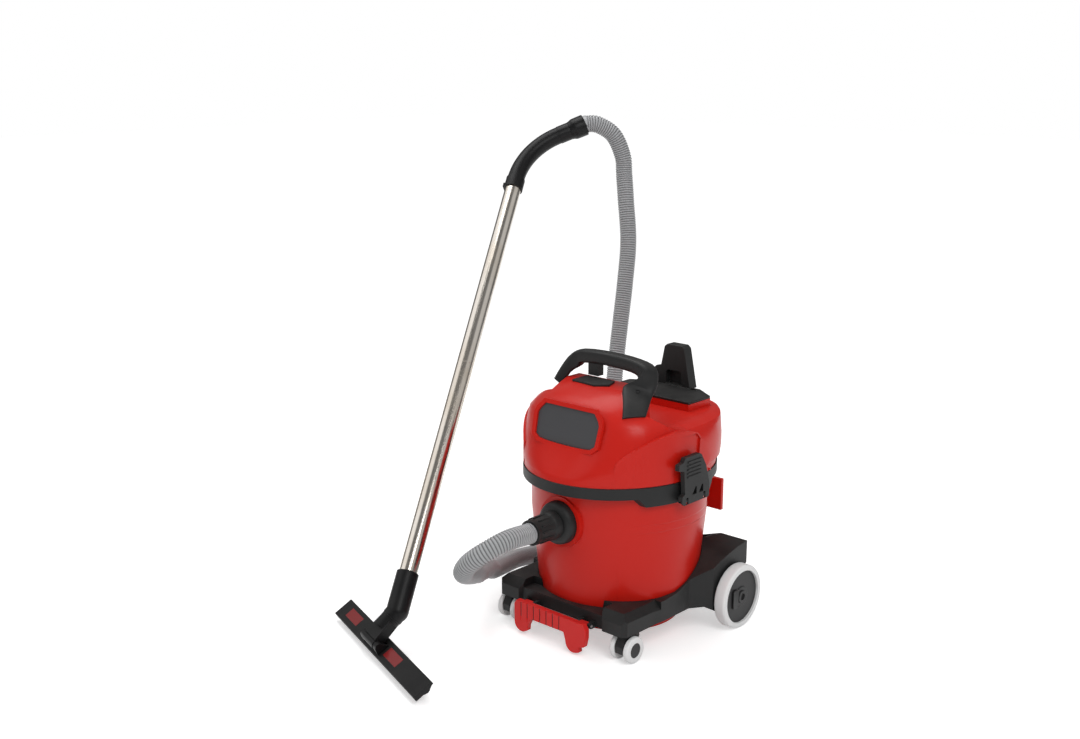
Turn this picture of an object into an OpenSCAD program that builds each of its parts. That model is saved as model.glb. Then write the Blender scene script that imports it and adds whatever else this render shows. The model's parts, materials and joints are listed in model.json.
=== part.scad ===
// Wet and dry shop vacuum: trolley, tank, lift-off head, latches, hose, wand and floor nozzle.
// Millimetres. X to the right, Y to the rear, Z up. The floor is Z = 0 and the tank's axis is
// the reference for every size; the finished model is then moved so that the origin is the
// bottom centre of its box, the loose hose left out.

/* [Tank] */
// Outer radius of the straight upper part
tank_r = 168; // [164:0.5:170]
// Outer radius just above the rounded bottom
tank_low_r = 152; // [148:0.5:154]
// Height from the seat on the trolley to the rim
tank_h = 250; // [240:1:270]
// Length of the straight upper part
tank_straight = 70; // [50:1:80]
// Radius of the rounded bottom edge
tank_edge_r = 14; // [8:0.5:18]
// Wall thickness
tank_wall = 3; // [2:0.25:4]
// Outer radius of the foot ring under the tank
foot_r = 120; // [112:1:124]
// Height of the foot ring below the seat
foot_h = 34; // [20:1:40]
// Drop from the rim to the middle of the hose inlet
inlet_drop = 66; // [60:1:80]

/* [Ring] */
// How far the ring stands out beyond the tank at the sides
ring_side = 8; // [7:0.5:12]
// How far the ring stands out beyond the tank in front
ring_nose = 26; // [22:1:30]
// How far the ring stands out beyond the tank behind
ring_tail = 34; // [28:1:38]
// Height of the ring
ring_h = 21; // [18:1:28]
// Extra depth of the ring's skirt beside the latches
skirt_h = 16; // [10:1:20]

/* [Head] */
// Height of the front dome above the ring
dome_h = 158; // [150:1:170]
// Height of the rear deck above the ring
deck_h = 95; // [90:1:100]
// Wall of the cover
cover_wall = 4; // [3:0.5:5]
// Half width of the control panel at its widest
panel_half = 74; // [66:1:78]
// Height of the control panel
panel_h = 68; // [60:1:72]
// Lean of the panel to the rear, in degrees
panel_lean = 14.5; // [12:0.5:16]
// Width of the raised frame round the panel
frame_w = 8; // [5:0.5:9]

/* [Handle] */
// How far the handle's shoulders stand in from the side of the ring
handle_in = 72; // [68:1:78]
// Height of the middle of the grip above the dome
handle_rise = 56; // [48:1:64]
// Thickness of the grip
grip_h = 25; // [20:1:30]
// Depth of the grip from front to rear
grip_d = 28; // [24:1:34]
// Height of the rear post above its plate
post_h = 82; // [70:1:90]
// Half width of the rear post at its foot
post_half = 40; // [36:1:44]
// Half width of the rear post at its top
post_top_half = 23; // [21:1:28]

/* [Motor and filter] */
// Outer radius of the motor housing
motor_r = 105; // [95:1:112]
// Depth of the motor housing below the head
motor_h = 102; // [90:1:110]
// Outer radius of the filter cartridge
filter_r = 78; // [70:1:84]
// Number of pleats
pleats = 36; // [24:4:48]
// Height of the filter cartridge
filter_h = 92; // [80:1:96]
// Diameter of the float ball
ball_d = 36; // [30:1:40]

/* [Latches] */
// Width of a latch plate
latch_w = 82; // [76:1:84]
// Thickness of a latch plate
latch_t = 9; // [8:0.5:12]
// Height of a latch plate above its hinge
latch_h = 83; // [78:1:92]
// Diameter of the hinge pin
latch_pin_d = 4; // [3:0.5:5]

/* [Trolley] */
// Height of the seat that carries the tank
seat_z = 54; // [54:1:60]
// Gap between the tank and its well
well_gap = 1.2; // [0.8:0.1:1.5]
// How far the front corners reach beyond the tank's foot
front_room = 20; // [19:1:24]
// How far the rear wall reaches beyond the tank's foot
rear_room = 11; // [8:1:18]
// How far the front corners stand out beyond the tank's foot
corner_room = 5; // [2:1:8]
// How far the side walls stand out beyond the tank's foot
side_room = 9; // [8:0.5:12]
// How far the wheel fenders stand out beyond the tank's foot
fender_room = 36; // [32:1:40]
// Wall thickness of the trolley
trolley_wall = 5; // [4:0.5:6]

/* [Rear wheels] */
// Diameter of a rear wheel
wheel_d = 125; // [120:1:130]
// Width of a rear wheel
wheel_w = 25; // [22:1:30]
// Diameter of the dark disc inside the tyre
disc_d = 103; // [94:1:106]
// Distance of the axle in front of the trolley's rear wall
axle_in = 48; // [45:1:51]
// Diameter of the stub axle
stub_d = 12; // [10:0.5:14]
// Gap between the fender and the wheel
wheel_gap = 2; // [1:0.5:4]

/* [Castors] */
// Diameter of a castor wheel
castor_d = 50; // [46:1:50]
// Width of one castor tyre
castor_w = 11; // [9:0.5:12]
// Diameter of the hub inside the tyre
castor_hub_d = 28; // [24:1:32]
// Distance from the swivel to the axle
castor_trail = 16; // [12:1:18]
// Distance of the swivel from the side of the front corner
castor_in = 16; // [14:1:19]
// Distance of the swivel behind the front corners
castor_back = 42; // [40:1:45]
// Diameter of the swivel stem
stem_d = 11; // [9:0.5:12]

/* [Brake pedal] */
// Left end of the pedal
pedal_left = 93; // [90:1:96]
// Right end of the pedal
pedal_right = 85; // [82:1:88]
// Thickness of the pedal plate
pedal_t = 11; // [8:0.5:12]
// Distance from the trolley's front wall to the pedal plate
pedal_gap = 20; // [18:0.5:22]
// Diameter of the pedal's pin
pedal_pin_d = 6; // [5:0.5:8]
// Spacing of the grooves
groove_pitch = 16; // [14:0.5:18]
// Number of grooves
grooves = 7; // [4:1:7]

/* [Hose] */
// Outer diameter of the hose
hose_d = 38; // [34:1:40]
// Radius of the inlet flange
flange_r = 40.5; // [38:0.5:42]
// Bore of the inlet flange
flange_bore = 44; // [40:1:46]
// Length of the turning cuff outside the flange
cuff_len = 60; // [50:1:70]

/* [Wand] */
// Outer diameter of the tubes
tube_d = 35; // [32:0.5:36]
// Wall of the tubes
tube_wall = 1.2; // [1:0.1:1.5]
// Visible length of the lower tube
lower_len = 450; // [440:1:460]
// Visible length of the upper tube
upper_len = 445; // [435:1:455]
// Compass direction in which the wand leans, in degrees from the rear
wand_turn = -24.7; // [-26:0.1:-24]
// Slope of the wand, in degrees from the floor
wand_slope = 46.9; // [46:0.1:48]
// Bend radius of the hand tube
bend_r = 150; // [140:1:160]
// Bend angle of the hand tube, in degrees
bend_angle = 58; // [54:1:60]
// Roll of the bend about the wand, in degrees
bend_roll = 2.3; // [0:0.1:5]
// Straight length beyond the bend
hand_len = 62; // [56:1:70]
// Outer diameter of the hand tube
hand_d = 37; // [36:0.5:40]
// Travel of the air slider
slider_travel = 14; // [8:1:16]

/* [Floor nozzle] */
// Width of the nozzle
nozzle_w = 394; // [380:2:400]
// Length of the nozzle's top from front to rear
nozzle_d = 41; // [38:0.5:46]
// Height of the front edge above the floor
nozzle_z = 16; // [16:0.5:20]
// Tilt of the nozzle as it rests on its front brush, in degrees
nozzle_tilt = 33.2; // [28:0.1:34]
// Heading of the nozzle, in degrees
nozzle_turn = 19.5; // [18:0.1:20]
// Middle of the front edge, left of the tank's axis
nozzle_x = 198.3; // [196:0.1:200]
// Middle of the front edge, in front of the tank's axis
nozzle_front = 461.9; // [460:0.1:464]
// Offset of the neck from the middle of the nozzle
neck_off = 14.7; // [10:0.1:20]
// Slope of the neck, in degrees
neck_slope = 41.8; // [40:0.1:44]
// Distance from the tilt axis to the elbow
neck_len = 69; // [66:1:74]
// Length of the elbow's sleeve round the wand
sleeve_len = 75; // [68:1:80]
// Length of a red window
window_w = 56; // [40:1:60]
// Distance of a window from the middle of the pair
window_off = 98; // [90:1:100]
// Diameter of a rear roller
roller_d = 12; // [10:1:14]

/* [Hidden] */

$fn = 96;
run_gap = 0.05;
seat_gap = 0.1;
body_gap = 0.3;
cut = 1;
red = [0.80, 0.09, 0.06];
black = [0.13, 0.13, 0.14];
grey = [0.28, 0.28, 0.30];
white = [0.93, 0.93, 0.93];
steel = [0.72, 0.71, 0.69];
brass = [0.55, 0.45, 0.30];

// Heights of the stack: seat, rim, ring, head.
rim_z = seat_z + tank_h;
ring_a = tank_r + ring_side;
ring_front = tank_r + ring_nose;
ring_rear = tank_r + ring_tail;
ring_lap = 5;
ring_z = rim_z - ring_lap;
ring_top = ring_z + ring_h;
head_z = ring_top + body_gap;
handle_half = ring_a - handle_in;
deck_z = ring_top + deck_h;
dome_z = ring_top + dome_h;
taper_z = rim_z - tank_straight;
trolley_front = tank_low_r + front_room;
trolley_rear = tank_low_r + rear_room;
corner_half = tank_low_r + corner_room;
side_half = tank_low_r + side_room;
fender_half = tank_low_r + fender_room;
axle_y = trolley_rear - axle_in;
castor_x = corner_half - castor_in;
castor_front = trolley_front - castor_back;
inlet_z = rim_z - inlet_drop;

// Directions: the wand, the hand tube's end and the frames that carry them.
function heading(turn, slope) = [cos(slope) * sin(turn), cos(slope) * cos(turn), sin(slope)];
wand_dir = heading(wand_turn, wand_slope);
wand_side = [cos(wand_turn), -sin(wand_turn), 0];
bend_dir = wand_side * cos(bend_roll) + cross(wand_dir, wand_side) * sin(bend_roll);
hand_dir = wand_dir * cos(bend_angle) + bend_dir * sin(bend_angle);
neck_dir = heading(nozzle_turn, neck_slope);
hinge_back = 7;
hinge_rise = 16.7;
nozzle_mid = [-nozzle_x, -nozzle_front, nozzle_z];
nozzle_right = [cos(nozzle_turn), -sin(nozzle_turn), 0];
nozzle_rear = [sin(nozzle_turn), cos(nozzle_turn), 0];
tilt_pt = nozzle_mid - nozzle_right * neck_off + nozzle_rear * hinge_back + [0, 0, hinge_rise];
elbow_pt = tilt_pt + neck_dir * neck_len;
sleeve_pt = elbow_pt + wand_dir * sleeve_len;
hand_start = sleeve_pt + wand_dir * (lower_len + upper_len);
bend_start = 23;
bend_end = hand_start + wand_dir * (bend_start + bend_r * sin(bend_angle))
    + bend_dir * bend_r * (1 - cos(bend_angle));
hand_end = bend_end + hand_dir * hand_len;

// The box of everything but the hose, for the origin.
function bend_pt(a) = hand_start + wand_dir * (bend_start + bend_r * sin(a))
    + bend_dir * bend_r * (1 - cos(a));
cuff_r = 23;
wheel_out = fender_half + wheel_gap + wheel_w;
box_left = min([for (a = [0:2:bend_angle]) bend_pt(a).x]) - hand_d / 2;
box_front = -nozzle_front - nozzle_w / 2 * sin(nozzle_turn);
box_rear = hand_end.y + cuff_r * sqrt(1 - hand_dir.y * hand_dir.y);
origin_x = (wheel_out + box_left) / 2;
origin_y = (box_front + box_rear) / 2;

// Helpers -----------------------------------------------------------------------------------

module in_place() translate([-origin_x, -origin_y, 0]) children();

// Puts +Z along a direction and +X level, at a point.
module aim(at, turn, slope) translate(at) rotate([slope - 90, 0, -turn]) children();

module both_sides() {
    children();
    mirror([1, 0, 0]) children();
}

module tube(r_out, r_in, h) difference() {
    cylinder(r = r_out, h = h);
    translate([0, 0, -cut]) cylinder(r = r_in, h = h + 2 * cut);
}

// A cylinder along X or Y from one place to another.
module rod_x(x0, x1, r) translate([x0, 0, 0]) rotate([0, 90, 0]) cylinder(r = r, h = x1 - x0);
module rod_y(y0, y1, r) translate([0, y1, 0]) rotate([90, 0, 0]) cylinder(r = r, h = y1 - y0);

// An outline in Y and Z, given thickness along X.
module side_plate(x0, x1, outline) translate([x0, 0, 0]) rotate([90, 0, 90])
    linear_extrude(x1 - x0) polygon(outline);

// An outline in X and Z, given thickness along Y.
module front_plate(y0, y1, outline) translate([0, y1, 0]) rotate([90, 0, 0])
    linear_extrude(y1 - y0) polygon(outline);

function arc(mid, r, a0, a1, n) =
    [for (i = [0:n]) mid + r * [cos(a0 + (a1 - a0) * i / n), sin(a0 + (a1 - a0) * i / n)]];

function mirrored(half) = concat(half, [for (i = [len(half) - 1:-1:0]) [-half[i].x, half[i].y]]);

// Egg outline: half width a, reach b_front to the front and b_rear to the rear; n is 2 for an
// ellipse and more for squarer corners.
function egg(a, b_front, b_rear, n_front, n_rear, count) = [for (i = [0:count - 1])
    let (t = 360 * i / count, s = sin(t), n = s < 0 ? n_front : n_rear, b = s < 0 ? b_front : b_rear)
    [a * sign(cos(t)) * pow(abs(cos(t)), 2 / n), b * sign(s) * pow(abs(s), 2 / n)]];

// Solid through a stack of outlines with equal numbers of points; each row is [height, outline].
module loft(rows) {
    n = len(rows[0][1]);
    points = [for (row = rows) for (p = row[1]) [p.x, p.y, row[0]]];
    walls = [for (k = [0:len(rows) - 2]) for (i = [0:n - 1]) let (j = (i + 1) % n)
        each [[k * n + i, (k + 1) * n + i, k * n + j], [k * n + j, (k + 1) * n + i, (k + 1) * n + j]]];
    floor_face = [for (i = [0:n - 1]) i];
    roof_face = [for (i = [n - 1:-1:0]) (len(rows) - 1) * n + i];
    polyhedron(points, concat([floor_face, roof_face], walls), convexity = 4);
}

// Tank --------------------------------------------------------------------------------------

edge_z = seat_z + tank_edge_r;
function tank_radius(z) = z > taper_z ? tank_r
    : tank_low_r + (tank_r - tank_low_r) * (z - edge_z) / (taper_z - edge_z);

// Half profile of the tank grown outwards by g, from the seat up to the height top.
function tank_profile(g, top) = concat(
    [[0, seat_z]],
    arc([tank_low_r - tank_edge_r, edge_z], tank_edge_r, -90, 0, 6) + [for (i = [0:6]) [g, 0]],
    [[tank_r + g, taper_z], [tank_r + g, top], [0, top]]);

module tank_envelope(g, top) rotate_extrude() polygon(tank_profile(g, top));

boss_r = flange_r + 8;
boss_y = tank_r + 3;
pocket_y = tank_r - 2;

module tank() color(red) {
    inner_r = tank_low_r - tank_wall;
    difference() {
        union() {
            difference() {
                tank_envelope(0, rim_z);
                rotate_extrude() polygon([[0, seat_z + tank_wall], [inner_r - tank_edge_r, seat_z + tank_wall],
                    [inner_r, edge_z + tank_wall], [tank_r - tank_wall, taper_z],
                    [tank_r - tank_wall, rim_z + cut], [0, rim_z + cut]]);
            }
            difference() {
                translate([0, 0, inlet_z]) rod_y(-boss_y, -tank_r + 20, boss_r);
                cylinder(r = tank_r - 5, h = rim_z);
            }
            translate([0, 0, seat_z - foot_h]) tube(foot_r, foot_r - 6, foot_h + 0.5);
        }
        translate([0, 0, inlet_z]) rod_y(-boss_y - cut, -pocket_y, flange_r + 0.5);
        translate([0, 0, inlet_z]) rod_y(-boss_y - cut, -tank_r + 30, flange_r - 6.5);
    }
}

flange_out = 25;
module inlet_flange() color(black) translate([0, -pocket_y, inlet_z]) rotate([90, 0, 0])
    rotate_extrude() polygon(concat(
        [[flange_bore / 2, -14], [flange_r - 7, -14], [flange_r - 7, 0], [flange_r, 0]],
        arc([flange_r - 12, 12], 12, 0, 80, 6),
        [[flange_bore / 2, flange_out]]));

holder_half = 95;
holder_y = tank_r + 37;
holder_low = rim_z - 119;
holder_high = rim_z - 54;

module tank_bracket() color(red) {
    translate([-holder_half, holder_y, holder_low]) cube([2 * holder_half, 7, holder_high - holder_low]);
    difference() {
        for (x = [-44, 36]) translate([x, 100, holder_low + 6])
            cube([8, holder_y - 99, holder_high - holder_low - 6]);
        cylinder(r = tank_r + seat_gap, h = rim_z);
    }
}

// Ring round the rim --------------------------------------------------------------------------

function ring_plan(g) = egg(ring_a - g, ring_front - g, ring_rear - g, 2, 2, 96);
ring_bore_r = tank_r - 8;
skirt_y0 = -104;
skirt_y1 = 62;
ear_gap = 0.4;
pin_x = ring_a + 7;
pin_z = ring_z - skirt_h + 5;
latch_y1 = 30;
latch_y0 = latch_y1 - latch_w;
ear_t = 6;
ear_ys = [latch_y0 + 12, latch_y1 - 18];

module tank_ring() color(black) difference() {
    union() {
        translate([0, 0, ring_z]) linear_extrude(ring_h) polygon(ring_plan(0));
        intersection() {
            translate([0, 0, ring_z - skirt_h]) linear_extrude(skirt_h + cut) polygon(ring_plan(0));
            side_plate(-200, 200, [[skirt_y0, ring_z - skirt_h], [skirt_y1, ring_z - skirt_h],
                [skirt_y1 + 14, ring_z + cut], [skirt_y0 - 14, ring_z + cut]]);
        }
        both_sides() for (y = ear_ys) translate([0, y, 0]) {
            translate([pin_x, 0, pin_z]) rod_y(0, ear_t, 5);
            translate([ring_a - 6, 0, pin_z - 5]) cube([7 + 6, ear_t, 10]);
        }
    }
    translate([0, 0, ring_z - skirt_h - cut]) cylinder(r = tank_r + seat_gap, h = skirt_h + ring_lap + cut);
    cylinder(r = ring_bore_r, h = rim_z + ring_h + cut);
    both_sides() translate([pin_x, 0, pin_z])
        rod_y(latch_y0, latch_y1, latch_pin_d / 2 + run_gap);
}

module latch_pin() color(steel) translate([pin_x, 0, pin_z])
    rod_y(ear_ys[0], ear_ys[1] + ear_t, latch_pin_d / 2);

// Latch plate: a tapered plate with grip ridges, two cut-outs, a knuckle round the pin and a foot.
module latch() color(black) {
    x0 = ring_a + 1.5;
    x1 = x0 + latch_t + 2;
    top = pin_z + latch_h;
    difference() {
        union() {
            difference() {
                side_plate(x0 + 2, x1, [[latch_y0 + 6, pin_z - 7], [latch_y1 - 3, pin_z - 7], [latch_y1, pin_z - 4],
                    [latch_y1, pin_z + 20], [latch_y1 - 12, top - 26], [latch_y1 - 26, top - 4],
                    [latch_y1 - 32, top], [latch_y0 + 6, top], [latch_y0 + 2, top - 8], [latch_y0 - 12, top - 10],
                    [latch_y0 - 12, top - 21], [latch_y0 + 4, top - 25], [latch_y0 + 8, pin_z + 14],
                    [latch_y0, pin_z + 10], [latch_y0, pin_z - 2]]);
                translate([x0, latch_y0 - cut, pin_z - 20]) cube([latch_t - 1, latch_w + 2 * cut, 20 - 2]);
            }
            translate([pin_x, 0, pin_z]) rod_y(ear_ys[0] + ear_t + ear_gap, ear_ys[1] - ear_gap, 4.6);
            translate([pin_x, ear_ys[0] + ear_t + ear_gap, pin_z - 1])
                cube([4, ear_ys[1] - ear_ys[0] - ear_t - 2 * ear_gap, 10]);
            for (i = [0:4]) translate([x1 - 0.5, latch_y0 + 14, top - 12 - 7 * i]) cube([2, latch_w - 42, 3]);
        }
        for (y = [latch_y0 + 30, latch_y0 + 50]) side_plate(x0, x1 + 3,
            [[y, pin_z + 8], [y + 13, pin_z + 8], [y + 13, pin_z + 22], [y + 9, pin_z + 22]]);
        for (y = ear_ys) translate([pin_x - 6, y - ear_gap, pin_z - 6])
            cube([11.5, ear_t + 2 * ear_gap, 12]);
        translate([pin_x, 0, pin_z]) rod_y(latch_y0 - cut, latch_y1 + cut, latch_pin_d / 2 + run_gap);
    }
}

// Head ----------------------------------------------------------------------------------------

// Outlines of the dome: height above the ring, how far it stands in from the ring at the side,
// in front and behind, and its squareness in front and behind.
dome_rows = [[body_gap, 2, 2, 2, 2, 2], [10, 3, 4, 2, 2.05, 2], [14, 4, 6, 2, 2.15, 2.3],
    [30, 5, 14, 2, 2.35, 2.4], [53, 7, 26, 4, 2.6, 2.5], [80, 11, 36, 8, 2.75, 2.6],
    [105, 16, 44, 14, 2.8, 2.8], [120, 28, 50, 22, 2.6, 3], [133, 43, 58, 32, 2.45, 3],
    [146, 60, 84, 52, 2.6, 3], [158, 78, 114, 72, 3, 3]];
// Outlines of the lower rear part, which rounds in to the deck.
deck_rows = [[body_gap, -4, -6, -4, 2, 2.2], [53, 6, 4, -2, 2.5, 2.6], [76, 10, 24, 0, 2.6, 2.7],
    [88, 19, 34, 4, 2.6, 2.9], [94, 36, 44, 8, 2.8, 3.2], [95, 48, 54, 14, 2.8, 3.6]];

module head_form(rows, tallest, g, count) loft([for (r = rows) [ring_top + r[0] * tallest,
    egg(ring_a - r[1] - g, ring_front - r[2] - g, ring_rear - r[3] - g, r[4], r[5], count)]]);

// Panel outline in its own plane: X across, Y up, zero in the middle of its lower edge.
function panel_outline(g) = mirrored(concat(
    [[18, -g]],
    [[panel_half * 0.62, 1 - g], [panel_half * 0.84 + g * 0.4, 3 - g], [panel_half * 0.97 + g, 10 - g * 0.4],
    [panel_half + g, panel_h * 0.7], [panel_half * 0.95 + g, panel_h * 0.82 + g * 0.4],
    [panel_half * 0.8 + g * 0.4, panel_h + g]]));
panel_z = ring_top + 62;
panel_y = 37 - ring_front;
module on_panel() translate([0, panel_y, panel_z]) rotate([90 - panel_lean, 0, 0]) children();

boss_face = ring_a - 1;
arch_y = -45;
arch_z = ring_top + 10;
module shoulder_boss() {
    outline = concat([for (a = [180:-7.5:60]) [arch_y + 112 * cos(a), arch_z + 85 * sin(a)]],
        [[30, ring_top + 62], [50, ring_top + 8], [60, arch_z - 8], [arch_y - 112, arch_z - 8]]);
    intersection() {
        side_plate(110, boss_face + 10, outline);
        translate([0, 0, ring_top]) linear_extrude(200)
            polygon(egg(boss_face, ring_front - 6, ring_rear, 2.1, 2.4, 72));
    }
}

scoop_y = -20;
crown_half = 86;
module head_cover() color(red) difference() {
    union() {
        intersection() {
            head_form(dome_rows, dome_h / 158, 0, 72);
            union() {
                head_form(deck_rows, deck_h / 95, 0, 72);
                translate([-crown_half, -220, ring_top]) cube([2 * crown_half, 220 + scoop_y, dome_h + cut]);
                side_plate(-190, 190, [[-220, ring_top], [-220, dome_z + cut], [-112, dome_z + cut],
                    [-92, dome_z - 24], [-76, deck_z + 24], [-56, deck_z + 9], [-38, deck_z + 2], [-26, deck_z],
                    [-22, ring_top]]);
            }
        }
        both_sides() shoulder_boss();
        translate([0, 0, deck_z - 2]) linear_extrude(plinth_h + 2) polygon(plate_outline);
        on_panel() linear_extrude(6) polygon(panel_outline(frame_w));
    }
    on_panel() linear_extrude(30) polygon(panel_outline(seat_gap));
    both_sides() side_plate(boss_face - 4, 190, [[-62, ring_top + 36], [14, ring_top + 36],
        [18, ring_top + 72], [6, ring_top + 84], [-56, ring_top + 84], [-62, ring_top + 78]]);
    both_sides() side_plate(boss_face - 7, 190, [[50, ring_top - cut], [66, ring_top + 22], [22, ring_top + 76],
        [30, ring_top + 36]]);
    handle_hoop(seat_gap);
    head_form([for (r = deck_rows)
        [r[0] < 1 ? -cut : r[0] - 4, r[1] + 12, max(r[2] + 14, 40), r[3] + 10, r[4], r[5]]],
        deck_h / 95, cover_wall, 36);
}

module head_base() color(black) difference() {
    translate([0, 0, head_z]) linear_extrude(6)
        polygon(egg(seal_r - 2, seal_r - 18, seal_r + 22, 2, 2.2, 72));
    translate([0, 0, head_z - cut]) cylinder(r = 30, h = 6 + 2 * cut);
}

seal_r = ring_bore_r - 2;
module head_seal() color(black) translate([0, 0, head_z - 8]) tube(seal_r, seal_r - 8, 8);

module control_panel() color(grey) on_panel() linear_extrude(2.5) polygon(panel_outline(0));

// Carry handle: broad legs that lie on the dome and a bowed grip between them, skinned through
// stations. Each station is [middle, half width, half thickness]; x is for the right half.
handle_foot = [[handle_half + 10, -102, dome_z - 36], [13, 17, 0.5], [2.5, -2.7, 4.3]];
handle_shin = [[handle_half - 3, -80, dome_z - 17], [18.5, 14.5, -3.7], [2.6, -2.2, 5.4]];
handle_knee = [[handle_half - 19, -57, dome_z - 3], [24, 12, -8], [2.8, -1.8, 6.2]];
handle_waist = [[handle_half - 13, -42, dome_z + 11], [15, 15, -5], [7, -2, 8]];
handle_shoulder = [[handle_half - 15, -34, dome_z + 31], [4, 15, 0], [10, -1, 11]];
handle_bow = [[handle_half - 42, -32, dome_z + 40], [0, grip_d / 2, 0], [3, 0, grip_h / 2]];
handle_mid = [[0, -32, dome_z + handle_rise - grip_h / 2], [0, grip_d / 2, 0], [0, 0, grip_h / 2]];
handle_left = [[[42 - handle_half, -32, dome_z + 40], [0, grip_d / 2, 0], [-3, 0, grip_h / 2]],
    [[22 - handle_half, -33, dome_z + 29], [-5, 15, 0], [-10, -1, 11]],
    [[4 - handle_half, -42, dome_z + 10], [-12, 15, -4], [-8, -3, 7]],
    [[-handle_half - 8, -58, dome_z - 24], [-12, 15, -3], [-8, -4, 7]]];
handle_rows = concat([handle_foot, handle_shin, handle_knee, handle_waist, handle_shoulder, handle_bow, handle_mid],
    handle_left);
function station_ring(s, g) = [for (i = [0:15]) let (a = 360 * i / 16 + 11.25, c = cos(a), n = -sin(a),
    u = s[1] * (1 + g / norm(s[1])), v = s[2] * (1 + g / norm(s[2])))
    s[0] + u * sign(c) * pow(abs(c), 0.5) + v * sign(n) * pow(abs(n), 0.5)];
function mix_station(rows, i, t) = [for (k = [0:2]) curve_pt([for (r = rows) r[k]], i, t)];

module handle_hoop(g) skin([for (i = [0:len(handle_rows) - 2]) for (t = [0, 1 / 3, 2 / 3])
    station_ring(mix_station(handle_rows, i, t), g)]);

module carry_handle() color(black) {
    handle_hoop(0);
    translate([-45, -42, dome_z + 8]) cube([24, 16, handle_rise - grip_h - 4]);
}

module top_plate() color(black) translate([0, 0, dome_z + seat_gap]) linear_extrude(4)
    polygon([[-54, -78], [4, -82], [25, -64], [14, -34], [-54, -34]]);

plinth_h = 13;
plate_t = 5;
plate_z = deck_z + plinth_h + seat_gap;
plate_outline = [[-100, 80], [100, 80], [100, 150], [55, 178], [-55, 178], [-100, 150]];
post_y = 176;
foot_y = post_y - 12;
foot_half = 77;
module deck_plate() color(black) translate([0, 0, plate_z]) linear_extrude(plate_t)
    polygon([[-100, 80], [100, 80], [100, 150], [foot_half, foot_y], [-foot_half, foot_y], [-100, 150]]);

post_z = plate_z + plate_t;
module rear_post() color(black) difference() {
    union() {
        translate([0, 0, plate_z]) linear_extrude(plate_t) polygon([[-foot_half, foot_y + seat_gap],
            [foot_half, foot_y + seat_gap], [55, 178], [-55, 178]]);
        front_plate(post_y - 11, post_y + 12, [[-post_half, post_z - 1], [post_half, post_z - 1],
            [post_top_half + 1, post_z + post_h - 5], [post_top_half - 5, post_z + post_h],
            [-post_top_half + 5, post_z + post_h], [-post_top_half - 1, post_z + post_h - 5]]);
        front_plate(post_y - 8, post_y - 2, [[-post_half - 14, post_z - 1], [-post_half + 8, post_z - 1],
            [-post_half + 8, post_z + 38], [-post_half - 6, post_z + 34], [-post_half - 14, post_z + 26]]);
    }
    front_plate(post_y - 20, post_y + 2, [[-19, post_z + 2], [19, post_z + 2], [19, post_z + 24],
        [15, post_z + 30], [-15, post_z + 30], [-19, post_z + 24]]);
}

// Motor, filter and float ---------------------------------------------------------------------

motor_low = head_z - motor_h;
shaft_r = 4;
module motor_housing() color(black) difference() {
    union() {
        translate([0, 0, motor_low]) cylinder(r = motor_r, h = motor_h);
        translate([0, 0, head_z - 5]) cylinder(r = motor_r + 14, h = 5);
    }
    translate([0, 0, motor_low + 5]) cylinder(r = motor_r - 4, h = motor_h - 10);
    translate([0, 0, motor_low - cut]) cylinder(r = shaft_r + run_gap, h = motor_h + 2 * cut);
    for (a = [0:45:315]) rotate(a) translate([32, 0, motor_low - cut]) cylinder(r = 7, h = 6 + cut);
}

module motor_rotor() color(steel) union() {
    translate([0, 0, motor_low + 0.5]) cylinder(r = shaft_r, h = motor_h - 1);
    translate([0, 0, motor_low + 12]) cylinder(r = motor_r - 16, h = 10);
    translate([0, 0, motor_low + 36]) cylinder(r = 34, h = 46);
}

cage_r = 50;
cage_low = motor_low - filter_h - 6;
module filter_cage() color(black) {
    translate([0, 0, motor_low - 4]) tube(cage_r + 4, cage_r - 6, 4);
    translate([0, 0, cage_low]) cylinder(r = cage_r, h = 5);
    translate([0, 0, cage_low - 20]) cylinder(r = 6, h = 20);
    for (a = [0:45:315]) rotate(a) translate([cage_r - 6, -3, cage_low + 4])
        cube([5, 6, motor_low - cage_low - 7]);
}

module float_ball() color(white) translate([0, 0, cage_low + 5 + body_gap + ball_d / 2]) sphere(d = ball_d);

module filter_cartridge() color(white) translate([0, 0, cage_low + 2]) difference() {
    union() {
        linear_extrude(filter_h) polygon([for (i = [0:2 * pleats - 1])
            (i % 2 == 0 ? filter_r - 2 : filter_r - 12) * [cos(180 * i / pleats), sin(180 * i / pleats)]]);
        cylinder(r = filter_r, h = 5);
        translate([0, 0, filter_h - 5]) cylinder(r = filter_r, h = 5);
    }
    translate([0, 0, -cut]) cylinder(r = cage_r + 2, h = filter_h + 2 * cut);
}

module filter_nut() color(grey) translate([0, 0, cage_low - 14]) difference() {
    union() {
        translate([0, 0, 9]) cylinder(r = filter_r - 6, h = 4.9);
        cylinder(r = 22, h = 10);
    }
    translate([0, 0, -cut]) cylinder(r = 6 + seat_gap, h = 20);
}

// Trolley -------------------------------------------------------------------------------------

corner_z = seat_z + 41;
fender_z = seat_z + 103;
skirt_z = seat_z + 1;
block_z = castor_d + 4;
wall_y = trolley_front - 7;
axle_z = wheel_d / 2;

function trolley_half(g) = [[98, -wall_y + g], [104 - g, -trolley_front + g], [corner_half - 8 - g, -trolley_front + g],
    [corner_half - g, -trolley_front + 8 + g], [corner_half + 1 - g, -92], [side_half - g, -60],
    [side_half - g, 14 + g], [fender_half - g, 54 + g], [fender_half - g, trolley_rear - g]];

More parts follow.
